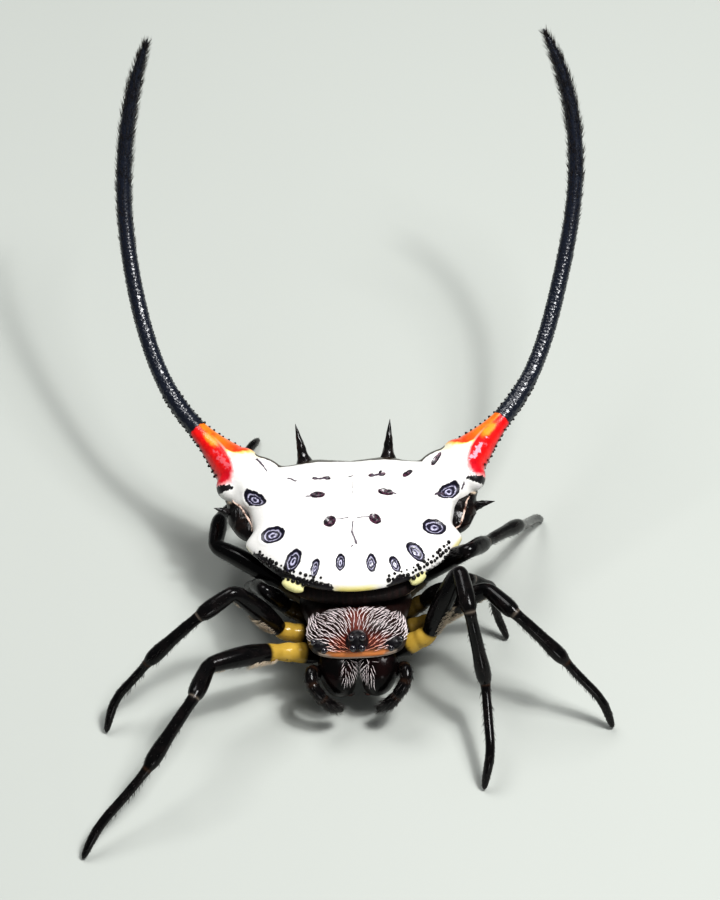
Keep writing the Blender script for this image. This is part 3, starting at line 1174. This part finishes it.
def make_horn_hair(side, finish):
    """Bristles on the upper two thirds of the shaft, longest and closest at the tip."""
    rng = np.random.default_rng(21 + SIDES[side])
    count = 1700
    share = rng.random(count) ** 0.55
    start, end = HORN_HAIR
    lengths = start + (end - start) * share
    turns = rng.uniform(-np.pi, np.pi, count)
    roots, out, ahead = around_horn(side, lengths, turns)
    long = (0.10 + 0.17 * ease(share, 0.2, 0.8)) * rng.uniform(0.75, 1.2, count)
    form = strands(roots, out, ahead, long, HORN_HAIR_RADIUS, rng.uniform(20, 38, count), -12.0)
    unwrapped = np.stack([(turns / (2 * np.pi) + 0.5), lengths / HORN_LENGTH], axis=1)
    coat("horn_%s_bristles" % side, form, unwrapped, finish, "horn_shaft")


def make_beads(name, places, normals, radii, finish, slot, height=0.9):
    """Small blunt knobs, half sunk in what carries them."""
    forms = []
    for place, normal, radius in zip(places, normals, radii):
        points, faces = ellipsoid((0, 0, 0), (radius, radius, radius * height), 10, 6)
        turned = Vector((0, 0, 1)).rotation_difference(Vector(normal)).to_matrix()
        forms.append((points @ np.array(turned).T + place, faces))
    piece(name, *joined(forms), finish, slot)


def make_margin_beads(skin, finish):
    """The black beads on the plate's front margins, closer together towards the sides."""
    rng = np.random.default_rng(8)
    tree = search_tree(*skin)
    power = FRONT_SQUARENESS
    places, normals, radii = [], [], []
    for side in SIDES.values():
        for share, spacing, radius in MARGIN_BEADS:
            x = MARGIN_X[0]
            while x < MARGIN_X[1]:
                ahead = max(share ** power - (x / SHIELD_HALF_WIDTH) ** power, 0.0) ** (1 / power)
                y = SHIELD_MIDDLE - SHIELD_FRONT * ahead
                found, normal = below(tree, side * (x + rng.uniform(-0.02, 0.02)),
                                      y + rng.uniform(-0.015, 0.015))
                if found is not None:
                    places.append(np.array(found))
                    normals.append(np.array(normal))
                    radii.append(radius * rng.uniform(0.55, 1.2))
                x += spacing * rng.uniform(0.75, 1.3) * (1 - 0.45 * ease(x, 1.8, 3.0))
    make_beads("margin_beads", places, normals, radii, finish, "shield_plate")


def make_horn_knobs(side, finish):
    """Black pointed knobs along both edges of the red base and the lower shaft."""
    rng = np.random.default_rng(31 + SIDES[side])
    start, end, count = KNOBS
    rows = np.radians(KNOB_TURNS)
    turns = rows[np.arange(count) % len(rows)] + rng.uniform(-0.2, 0.2, count)
    roots, out, _ = around_horn(side, np.linspace(start, end, count), turns)
    make_beads("horn_%s_knobs" % side, roots - out * 0.01, out, rng.uniform(*KNOB_RADIUS, count), finish,
               "horn_shaft", 1.5)


# Body

def belly_place(turn, rise):
    """The belly: round at the bottom, and with the plate's outline at the top."""
    z, half_width, front, back = section(BELLY, rise)
    end = (1 - np.abs(rise) ** 6) ** 0.5
    across, ahead = shield_outline(turn)
    middle = back - (back - front) * SHIELD_BACK / (SHIELD_BACK + SHIELD_FRONT)
    share = (z - BELLY[0][0]) / (BELLY[-1][0] - BELLY[0][0])
    middle = middle + (1 - share) * ((front + back) / 2 - middle)
    reach = np.where(ahead > 0, back - middle, middle - front)
    return np.stack([half_width * end * across, middle + reach * end * ahead, z], axis=1)


def make_belly(finish):
    """The soft underside with its furrows, and the two black shoulders."""
    forms = [closed_form(belly_place, 140, 70), ellipsoid(*FACE, 60, 40)]
    for side in SIDES:
        forms += [mirrored_egg(row, side) for row in (SHOULDER, FLANK)]
    points, faces = fuse(forms, 0.05)
    points = relax(points, faces, 14, 0.5 * ease(points[:, 2], 3.0, 3.3), only_out=True)
    points = relax(points, faces, 5, 0.5)
    normals = point_normals(points, faces)
    x, y, z = points.T
    wide = np.abs(x)
    turn = np.arctan2(x, y - 3.1)
    level = ease(z, 3.6, 2.6)
    furrows = 0.055 * np.abs(np.sin(turn * 7 + 0.9 * np.sin(z * 3))) * level * ease(z, 1.15, 1.6)
    bands = 0.030 * np.sin(z * 8.5 + 2.2 * np.sin(turn * 2)) * level
    fine = 0.006 * np.sin(x * 46) * ease(y, 1.4, 0.4) * ease(z, 3.2, 3.5)
    creased = ease(wide, 2.75, 3.05) * ease(z, 3.0, 3.3) * ease(y, 1.8, 2.1)
    creases = 0.030 * np.abs(np.sin(y * 6.5 + 3.0 * z + np.sin(x * 5 + z * 7))) ** 0.7 * creased
    points = points - normals * (0.03 * level + furrows + fine + creases - bands)[:, None]
    front = ease(y, 1.1, 0.5) * ease(z, 2.8, 3.1)
    cream = ease(bell(wide, 3.62, 0.26) * bell(y, 3.44, 0.12) * bell(z, 3.9, 0.2), 0.3, 0.6)
    for fold_x, fold_z, degrees in FOLDS:
        fold = oval_share(np.stack([x, z], axis=1), fold_x, fold_z, 0.28, 0.06, degrees)
        cream = np.maximum(cream, 0.8 * ease(fold, 1.1, 0.7) * ease(y, 1.2, 0.8))
    piece("belly_skin", points, faces, finish, "dark_shell", ["abdomen"], {"front": front, "cream": cream})
    return points, faces


def make_cords(plate, belly, finish):
    """A pale, uneven cord on each shoulder, which follows the side of the plate."""
    tree = search_tree(*joined([plate, belly]))
    shares = np.linspace(0, 1, 70)
    for side, corners in CORDS.items():
        rows = np.column_stack([np.linspace(0, 1, len(corners)), corners])
        path = []
        for x, y in along(rows, shares) * [SIDES[side], 1]:
            found = below(tree, x, y)[0]
            path.append(tuple(found or tree.find_nearest(Vector((x, y, 3.8)))[0]))
        path = np.array(path)
        for _ in range(12):
            path[1:-1] = (path[:-2] + path[1:-1] * 2 + path[2:]) / 4
        width = (0.35 + 0.65 * np.sin(np.pi * shares) ** 0.5) * (1 + 0.2 * np.sin(shares * 31))
        points, faces = tube(path + [0, 0, 0.012], CORD_RADIUS * width, 16)
        piece("cord_%s" % side, points, faces, finish, "shield_plate")


def carapace_place(turn, rise):
    """Head and thorax from front to back, rounded above and flat below."""
    corner, squareness = 0.3, 0.78
    y, half_width, low, high = section(CARAPACE, rise)
    end = (1 - np.abs(rise) ** 8) ** 0.25
    widest = low + corner * (high - low)
    across, up = signed(np.cos(turn), squareness), signed(np.sin(turn), squareness)
    height = np.where(up > 0, high - widest, widest - low)
    return np.stack([half_width * end * across, y, widest + height * end * up], axis=1)


def from_knob(points):
    """Distance from the middle of the eye knob, 1 on its skin."""
    return np.linalg.norm((points - TUBERCLE) / TUBERCLE_HALF, axis=1)


def from_side_eyes(points, side):
    """Distance from the middle of the bare patch round a pair of side eyes."""
    middle, stretch = SIDE_EYE_PATCH
    return np.linalg.norm((points - mirrored(middle, side)) / stretch, axis=1)


def make_head(finish):
    """Head and thorax, with the eye knob, a mound under each pair of side eyes and the clypeus edge."""
    forms = [closed_form(carapace_place, 120, 90), ellipsoid(TUBERCLE, TUBERCLE_HALF)]
    middle, half = SIDE_EYE_MOUND
    forms += [ellipsoid(mirrored(middle, side), half) for side in SIDES]
    points, faces = fuse(forms, 0.035)
    points = relax(points, faces, 10, 0.5)
    normals = point_normals(points, faces)
    x, y, z = points.T
    wide = np.abs(x)
    top = ease(normals[:, 2], 0.2, 0.6)
    groove = bell(wide - 0.55, 0.5 * (0.4 - y), 0.10) * ease(y, 0.8, 0.3) * ease(y, -0.9, -0.3)
    dip = bell(x, 0, 0.12) * ease(y, -0.9, -0.4) * ease(y, 0.9, 0.5)
    crease = bell(z - 2.50, -0.05 * wide, 0.035) * ease(y, -1.2, -1.5)
    points = points - normals * (0.06 * groove * top + 0.05 * dip * top + 0.03 * crease)[:, None]

    # The face, by its height over a line that drops a little to the sides
    face = ease(y, -1.30, -1.52)
    height = z + 0.02 * wide
    orange = face * ease(height, 2.46, 2.50) * ease(height, 2.82, 2.62) * ease(wide, 1.15, 0.85)
    narrow = ease(wide, 1.22, 1.10)
    lip = face * ease(height, 2.38, 2.42) * ease(height, 2.50, 2.46) * 0.6 * narrow
    lip = np.maximum(lip, face * bell(height, 2.56, 0.06) * ease(wide, 0.70, 0.95) * narrow)
    black = ease(from_knob(points), 1.25, 1.05)
    for side in SIDES:
        black = np.maximum(black, ease(from_side_eyes(points, side), 0.30, 0.20))
    red = bell(x, 0, 0.30) * ease(y, 0.2, -0.6) * (1 - face) * 0.8
    red = np.maximum(red, ease(z, 2.7, 3.0) * face * 0.7)
    piece("head_skin", points, faces, finish, "head_coat", ["carapace"],
          {"orange": orange, "lip": lip, "black": black, "red": red})
    return points, faces


def make_sternum(finish):
    """A shield narrower behind, with a low swelling at each leg."""
    half_width, half_length = STERNUM_HALF
    low, high = STERNUM_Z

    def place(turn, rise):
        x, y, _ = on_sphere(turn, rise).T
        wide = np.maximum(np.hypot(x, y), 1e-6)
        flat = wide ** 0.5 / wide
        taper = 1 - 0.18 * y
        keel = 0.05 * np.cos(turn * 8) * wide * (rise < 0)
        across = (half_width - keel) * x * flat * taper
        back = STERNUM_MIDDLE + (half_length - keel) * y * flat
        return np.stack([across, back, (low + high) / 2 + (high - low) / 2 * rise], axis=1)

    points, faces = closed_form(place, 96, 40)
    piece("sternum_skin", points, faces, finish, "dark_shell", ["sternum"])


def jaw_place(side):
    """Gives the place function of a jaw, which is flatter where it meets the other one."""
    def place(turn, rise):
        z, half_width, front, back = section(CHELICERA, rise)
        end = (1 - np.abs(rise) ** 6) ** 0.4
        middle = CHELICERA_X - 0.5 * (CHELICERA[2][1] - half_width)
        x = SIDES[side] * middle + half_width * end * np.cos(turn)
        inner = SIDES[side] * JAW_GAP
        x = np.where(x * SIDES[side] < JAW_GAP, inner + 0.3 * (x - inner), x)
        y = (front + back) / 2 + (back - front) / 2 * end * np.sin(turn)
        return np.stack([x, y, z], axis=1)

    return place


def make_jaws(finish, fang_finish):
    """Two stout jaws, and the folded fangs."""
    skins = {}
    rows = np.column_stack([np.linspace(0, 1, len(FANG)), FANG])
    for side in SIDES:
        points, faces = closed_form(jaw_place(side), 80, 56)
        points = relax(points, faces, 2, 0.4)
        piece("jaw_%s_skin" % side, points, faces, finish, "jaw_shell", ["chelicera_" + side])
        skins[side] = points, faces
        curve = along(rows, np.linspace(0, 1, 36))
        fang = tube(curve[:, :3] * [SIDES[side], 1, 1], curve[:, 3], 20)
        piece("fang_%s_skin" % side, *fang, fang_finish, "jaw_shell", ["fang_" + side])
    return skins


def make_eyes(skin, finish):
    """Eight glossy beads that stand half out of the head."""
    tree = search_tree(*skin)
    for side in SIDES:
        for place, eyes in (("middle", MIDDLE_EYES), ("side", SIDE_EYES)):
            for row, (x, y, z, radius) in zip(("front", "rear"), eyes):
                found, normal, _, _ = tree.find_nearest(Vector((SIDES[side] * x, y, z)))
                middle = np.array(found + normal * radius * 0.30)
                points, faces = ellipsoid(middle, (radius,) * 3, 40, 24)
                name = "eye_%s_%s_%s" % (place, row, side)
                piece(name + "_bead", points, faces, finish, "eye", [name])


def make_spine(name, side, spec, finish):
    """A sharp spine on a flared foot, a little crooked, with a few low knobs."""
    root, (outward, up), length, radius = spec
    direction = heading(side, 180 - outward if name == "spine_rear" else outward, up)
    shares = np.linspace(SPINE_WIDTH[0][0], 1.0, 60)
    bend = 0.04 * UP * np.sin(np.pi * np.clip(shares, 0, 1))[:, None]
    path = mirrored(root, side) + direction * (length * shares)[:, None] + bend

    def relief(share, turn):
        return 0.010 * np.sin(turn * 5 + share * 9) * np.sin(share * 31) * ease(share, 1.0, 0.6)

    points, faces = tube(path, radius * along(SPINE_WIDTH, shares)[:, 0], 28, relief)
    piece("%s_%s_skin" % (name, side), points, faces, finish, "spine", ["%s_%s" % (name, side)])


def make_spinnerets(finish):
    """Two pairs of spinnerets in a ribbed collar."""
    def ribs(share, turn):
        return 0.012 * np.cos(turn * 14) * ease(share, 0.1, 0.5)

    middle = np.array(SPINNERET_MIDDLE)
    heights = np.linspace(COLLAR_WIDTH[-1][0], COLLAR_WIDTH[0][0], 26)
    width = SPINNERET_RING * along(COLLAR_WIDTH, heights)[:, 0]
    forms = [tube(middle + np.outer(heights, UP), width, 40, ribs)]
    shares = np.linspace(0, 1, 24)
    for side in SIDES.values():
        for x, y, radius, length in SPINNERETS:
            start = middle + np.array([side * x, y, 0.07])
            end = middle + np.array([side * x * 0.8, y * 1.2, -length])
            path = start + np.outer(shares, end - start)
            forms.append(tube(path, radius * along(SPINNERET_WIDTH, shares)[:, 0], 20))
    points, faces = joined(forms)
    piece("spinnerets_skin", points, faces, finish, "dark_shell", ["spinnerets"])


def make_pedicel(finish):
    """The ringed stalk between thorax and belly."""
    start, end, radius = PEDICEL
    shares = np.linspace(0, 1, 30)
    path = np.array(start) + np.outer(shares, np.array(end) - np.array(start))
    points, faces = tube(path, np.full(30, radius), 28, lambda share, turn: 0.02 * np.cos(share * 40))
    piece("pedicel_skin", points, faces, finish, "dark_shell", ["pedicel"])


# Legs and feelers

def leg_joints(side, number):
    """The eight joints of a leg, from its root to the tip of its tarsus, with the hip parted in two."""
    points = [mirrored(LEG_ROOT[number], side)]
    for length, angles in zip(LEG_LENGTH[number], LEG_POSE[side, number]):
        up = angles[1] if len(angles) > 1 else -math.degrees(math.asin((points[-1][2] - ANKLE) / length))
        points.append(points[-1] + heading(side, angles[0], up) * length)
    return [points[0], points[0] + (points[1] - points[0]) * HIP_SPLIT] + points[1:]


def leg_line(joints):
    """A leg's middle line with rounded bends, evenly spaced, and how far along it each joint lies."""
    joints = np.array(joints)
    run = run_along(joints)
    spans = np.linalg.norm(np.diff(joints, axis=0), axis=1)
    forward = np.diff(joints, axis=0) / spans[:, None]
    bowed = upward(forward)

    def at(length):
        i = np.clip(np.searchsorted(run, length, side="right") - 1, 0, len(spans) - 1)
        share = (length - run[i]) / spans[i]
        bow = 4 * np.array(SEGMENT_BOW)[i] * spans[i] * np.clip(share * (1 - share), 0, None)
        return joints[i] + forward[i] * (share * spans[i])[:, None] + bowed[i] * bow[:, None]

    lengths = np.arange(0.0, run[-1] + LEG_STEP / 2, LEG_STEP)
    reach = np.interp(lengths, run, JOINT_ROUND)
    windows = np.linspace(-1, 1, 21)
    weights = 1 - np.abs(windows) / 1.1
    path = sum(at(lengths + shift * reach) * weight for shift, weight in zip(windows, weights))
    path /= weights.sum()
    path[:, 2] -= CLAW_DIP * ease(lengths, run[-1] - CLAW, run[-1])
    return path, lengths, run


def make_leg(side, number, finish):
    """A leg as one smooth skin, with shallow necks at its joints. Gives each segment's path and radii."""
    path, lengths, run = leg_line(leg_joints(side, number))
    index = np.clip(np.searchsorted(run, lengths, side="right") - 1, 0, 6)
    share = (lengths - run[index]) / np.diff(run)[index]
    rows = [(run[i] + key * (run[i + 1] - run[i]), radius)
            for i, table in enumerate(SEGMENT_RADIUS) for key, radius in table]
    radii = LEG_BULK[number] * along(rows, lengths)[:, 0]
    neck = sum(depth * bell(lengths, run[joint], NECK_WIDTH) for joint, depth in NECKS)
    left = np.clip((run[-1] - lengths) / TIP_ROUND, 0.02, 1)
    radii = radii * (1 - neck) * np.sqrt(1 - (1 - left) ** 2)
    points, faces = tube(path, radii, LEG_SIDES)
    points[:, 2] = np.maximum(points[:, 2], FLOOR_GAP)

    fade = ease(share, *GOLDEN_FEMUR.get((side, number), OTHER_FEMUR))
    honey = np.choose(np.minimum(index, 3), [ease(share, 0.60, 0.80), 1.0, fade, 0.0])
    marks = {"honey": honey * GOLDEN.get((side, number), OTHER_GOLDEN),
             "brown": 0.35 * bell(lengths - run[5], 0.02, 0.05),
             "pale": 0.25 * bell(lengths - run[4], 0.01, 0.022)}
    names = ["leg_%d_%s_%s" % (number, side, part) for part in ("femur", "tibia", "foot")]
    piece("leg_%d_%s_skin" % (number, side), points, faces, finish, "leg_shell", names,
          {key: on_tube(values, LEG_SIDES) for key, values in marks.items()})
    return [(path[index == i], radii[index == i]) for i in range(7)]


# Bristles: segment, count, from and to share, from and to turn in degrees, length, radius, lift
LEG_BRISTLES = [
    (2, 60, 0.1, 0.97, 100, 260, 0.14, 0.006, 36), (2, 60, 0.1, 0.95, -100, 100, 0.08, 0.005, 24),
    (3, 40, 0.1, 0.95, -180, 180, 0.09, 0.006, 30), (4, 80, 0.05, 0.97, 100, 260, 0.15, 0.008, 40),
    (4, 50, 0.05, 0.97, -90, 90, 0.09, 0.006, 24), (5, 60, 0.04, 0.97, 100, 260, 0.18, 0.009, 40),
    (5, 50, 0.04, 0.97, -95, 95, 0.09, 0.006, 24), (6, 120, 0.05, 0.94, -180, 180, 0.08, 0.006, 24),
    (1, 20, 0.1, 0.9, 60, 300, 0.12, 0.006, 40), (0, 24, 0.2, 0.9, 60, 300, 0.12, 0.006, 40),
]
# Pale tufts on the first two pairs: along the root of the femur, and at its end
PALE_TUFTS = [(2, 260, 0.08, 0.48, 90, 210, 0.22, 0.009, 40),
              (2, 60, 0.80, 0.95, 120, 220, 0.12, 0.008, 26)]


def on_segment(path, radii, shares, turns):
    """Points on a tube's skin, the way out of it and the way along it."""
    ahead, up, across = frames(path)
    place = np.clip(np.searchsorted(np.linspace(0, 1, len(path)), shares) - 1, 0, len(path) - 2)
    out = up[place] * np.cos(turns)[:, None] + across[place] * np.sin(turns)[:, None]
    return path[place] + out * radii[place][:, None], out, ahead[place]


def even_shares(path):
    """For shares of a path's length, the shares of its count of points."""
    run = run_along(path)
    return lambda shares: np.interp(shares, run / run[-1], np.linspace(0, 1, len(path)))


def make_leg_hair(legs, rows, name, finish, seed, chosen=None):
    """One piece with the bristles of all legs, by rows of segment, count, place and size."""
    rng = np.random.default_rng(seed)
    sets = []
    for order, ((side, number), segments) in enumerate(legs.items()):
        if chosen and number not in chosen:
            continue
        for index, count, start, end, turn_from, turn_to, length, radius, lift in rows:
            path, radii = segments[index]
            shares = even_shares(path)(rng.uniform(start, end, count))
            turns = np.radians(rng.uniform(turn_from, turn_to, count)) * SIDES[side]
            roots, out, ahead = on_segment(path, radii, shares, turns)
            unwrapped = np.stack([(order + (turns / (2 * np.pi)) % 1) / 8, (index + shares) / 7], axis=1)
            sets.append((roots, out, ahead, length * rng.uniform(0.7, 1.25, count), np.full(count, radius),
                         lift * rng.uniform(0.7, 1.3, count), unwrapped))
    roots, out, ahead, lengths, radii, lift, unwrapped = (np.concatenate(each) for each in zip(*sets))
    form = strands(roots, out, ahead, lengths, radii, lift, -0.4 * lift)
    form[0][:, 2] = np.maximum(form[0][:, 2], 0.006)
    coat(name, form, unwrapped, finish, "leg_shell")


def make_palps(finish, hair):
    """The two feelers, curled in under the jaws, with their bristles."""
    for side in SIDES:
        rows = np.array(PALP) * [SIDES[side], 1, 1, 1]
        run = run_along(rows[:, :3])
        share = np.linspace(0, 1, 130)
        curve = along(np.column_stack([run, rows]), np.linspace(0, run[-1], len(share)))
        pinch = sum(bell(share, place, 0.018) for place in PALP_JOINTS)
        path, radii = curve[:, :3], curve[:, 3] * (1 - 0.12 * pinch)
        points, faces = tube(path, radii, PALP_SIDES)
        brown = np.minimum(0.3 * sum(bell(share, place, 0.016) for place in PALP_JOINTS), 1)
        zero = np.zeros(len(points))
        piece("palp_%s_skin" % side, points, faces, finish, "dark_shell", ["pedipalp_" + side],
              {"honey": zero, "brown": on_tube(brown, PALP_SIDES), "pale": zero})
        rng = np.random.default_rng(44 + SIDES[side])
        count = 340
        shares = rng.random(count) ** 0.7 * 0.95 + 0.04
        turns = rng.uniform(0, 2 * np.pi, count)
        roots, out, ahead = on_segment(path, radii, shares, turns)
        long = rng.uniform(0.08, 0.14, count) * (1 + 0.8 * ease(shares, 0.7, 0.95))
        form = strands(roots, out, ahead, long, 0.009, rng.uniform(22, 40, count), -15.0)
        unwrapped = np.stack([turns / (2 * np.pi), shares], axis=1)
        coat("palp_%s_bristles" % side, form, unwrapped, hair, "dark_shell")


def make_head_hair(skin, finish):
    """Pale curved hairs over the head, which part along the middle and fan out from the eyes."""
    rng = np.random.default_rng(3)

    def weight(place, normal):
        x, y, z = place.T
        upper = ease(normal[:, 2] + 0.8 * ease(y, 0.0, 0.6), -0.1, 0.25)
        face = ease(z, 2.66, 2.78) * ease(from_knob(place), 1.1, 1.25)
        sides = np.ones(len(place))
        for side in SIDES:
            sides *= ease(from_side_eyes(place, side), 0.17, 0.25)
        return upper * face * sides * ease(y, -0.42, -0.72) * (1 - 0.55 * bell(x, 0, 0.14))

    roots, normals = scatter(*skin, 9000, rng, weight, 0.090)
    count = len(roots)
    lies = unit((roots - FAN_MIDDLE) * [1.0, 1.0, 0.6] + np.array([0.0, 0.35, 0.0]))
    swirl = 0.6 * np.sin(roots[:, 0] * 3.1) * np.sin(roots[:, 1] * 2.3)
    lies = lies + np.cross(normals, lies) * swirl[:, None] + rng.normal(0, 0.14, (count, 3))
    form = strands(roots, normals, lies, rng.uniform(0.18, 0.30, count), rng.uniform(0.015, 0.021, count),
                   rng.uniform(14, 28, count), rng.uniform(-36, -20, count), rings=5)
    coat("head_hairs", form, 0.5 + roots[:, :2] / 3.8, finish, "head_coat")


def make_jaw_hair(skins, finish):
    """Pale hairs on the inner front of each jaw."""
    rng = np.random.default_rng(12)

    def weight(place, normal):
        x, _, z = place.T
        inner = ease(np.abs(x), 0.50, 0.36)
        return inner * ease(normal[:, 1], 0.1, -0.2) * ease(z, 1.66, 1.80) * ease(z, 2.45, 2.36)

    for side, skin in skins.items():
        roots, normals = scatter(*skin, 500, rng, weight, 0.078)
        count = len(roots)
        lies = (roots - JAW_FAN_MIDDLE) * [1.0, 0.5, 1.0] + rng.normal(0, 0.10, (count, 3))
        form = strands(roots, normals, lies, rng.uniform(0.16, 0.26, count), 0.012,
                       rng.uniform(14, 24, count), -18.0)
        across = 0.5 + (roots[:, 0] - SIDES[side] * CHELICERA_X) / 1.3
        unwrapped = np.stack([across, roots[:, 2] / 3], axis=1)
        coat("jaw_%s_hairs" % side, form, unwrapped, finish, "jaw_shell")


# Floor, light and camera

def make_stage():
    """A plain pale floor."""
    made, tree, place = blank("floor")
    colour = mix(tree, noise(tree, place, 30.0, 3.0), (0.44, 0.46, 0.43), (0.47, 0.49, 0.46))
    mesh = bpy.data.meshes.new("floor")
    corners = [(x, y, 0.0) for x, y in ((-1, -1), (1, -1), (1, 1), (-1, 1))]
    mesh.from_pydata(corners, [], [(0, 1, 2, 3)])
    mesh.transform(Matrix.Scale(FLOOR_REACH, 4))
    mesh.materials.append(finished(made, colour, 0.8))
    link("floor", mesh)


def make_light(name, place, size, power):
    """A square soft light that is aimed at the spider; place and size in millimetres."""
    data = bpy.data.lights.new(name, "AREA")
    data.size = size * MM
    data.energy = power
    light = link(name, data)
    light.location = Vector(place) * MM
    light.rotation_mode = "QUATERNION"
    light.rotation_quaternion = (Vector(LIGHT_AIM) - Vector(place)).to_track_quat("-Z", "Y")


def make_lights():
    """Four soft lights in a dim, pale world."""
    for row in LIGHTS:
        make_light(*row)
    world = bpy.data.worlds.new("world")
    world.use_nodes = True
    background = world.node_tree.nodes["Background"]
    background.inputs["Color"].default_value = (0.93, 0.97, 1.0, 1.0)
    background.inputs["Strength"].default_value = 0.15
    bpy.context.scene.world = world
    bpy.context.scene.view_settings.view_transform = "Standard"
    bpy.context.scene.view_settings.look = "Medium High Contrast"


def make_camera():
    """The photo's view, worked out from VIEW_TARGET, the angle up, the distance and the roll."""
    up, roll = math.radians(VIEW_UP), math.radians(VIEW_ROLL)
    back = np.array([0.0, -math.cos(up), math.sin(up)])
    level = np.array([1.0, 0.0, 0.0])
    above = np.cross(back, level)
    right = math.cos(roll) * level + math.sin(roll) * above
    top = -math.sin(roll) * level + math.cos(roll) * above
    data = bpy.data.cameras.new("camera")
    data.sensor_fit = "VERTICAL"
    data.sensor_width = data.sensor_height = SENSOR
    data.lens = FOCAL
    data.clip_start, data.clip_end = 0.002, 5.0
    camera = link("camera", data)
    place = (VIEW_TARGET + back * VIEW_DISTANCE + SHIFT) * MM
    turned = Matrix(np.column_stack([right, top, back]).tolist()).to_4x4()
    camera.matrix_world = Matrix.Translation(Vector(place)) @ turned
    bpy.context.scene.camera = camera


def make_spider():
    """All pieces, each with its finish."""
    black = shell_finish("black_shell", (0.004, 0.004, 0.004), (0.011, 0.008, 0.008), 0.22)
    dark = shell_finish("dark_shell", (0.010, 0.007, 0.006), (0.045, 0.024, 0.015), 0.34,
                        size=0.3, bump=0.01, coat=0.2)
    jaw = shell_finish("jaw_shell", (0.003, 0.0025, 0.0025), (0.010, 0.004, 0.004), 0.24,
                       size=0.4, bump=0.003, coat=0.12, specular=0.05)
    fang = shell_finish("fang_shell", (0.020, 0.006, 0.005), (0.10, 0.022, 0.012), 0.16,
                        size=0.3, bump=0.002, coat=0.6)
    dark_hair = hair_finish("dark_hair", (0.010, 0.008, 0.008), (0.035, 0.026, 0.022))
    pale_hair = hair_finish("pale_hair", (0.86, 0.72, 0.72), (0.96, 0.92, 0.93), 0.3)
    head_hair = hair_finish("head_hair", (0.86, 0.70, 0.70), (0.96, 0.92, 0.93), 0.3, (0.86, 0.26, 0.12))
    cream_hair = hair_finish("cream_hair", (0.55, 0.44, 0.32), (0.80, 0.70, 0.56))
    leg = leg_finish()

    plate = make_plate(plate_finish())
    make_margin_beads(plate, black)
    horn = horn_finish()
    for side in SIDES:
        make_horn_shaft(side, horn)
        make_horn_knobs(side, black)
        make_horn_hair(side, dark_hair)
        make_spine("spine_rear", side, REAR_SPINE[side], black)
        make_spine("spine_front", side, FRONT_SPINE[side], black)
    belly = make_belly(belly_finish())
    make_cords(plate, belly, cord_finish())
    head = make_head(head_finish())
    make_head_hair(head, head_hair)
    make_eyes(head, eye_finish())
    jaws = make_jaws(jaw, fang)
    make_jaw_hair(jaws, pale_hair)
    make_palps(leg, dark_hair)
    make_sternum(dark)
    make_pedicel(dark)
    make_spinnerets(dark)
    legs = {(side, number): make_leg(side, number, leg) for side in SIDES for number in (1, 2, 3, 4)}
    make_leg_hair(legs, LEG_BRISTLES, "leg_bristles", dark_hair, 61)
    make_leg_hair(legs, PALE_TUFTS, "leg_pale_hairs", cream_hair, 62, (1, 2))


make_camera()
make_stage()
make_lights()
make_spider()
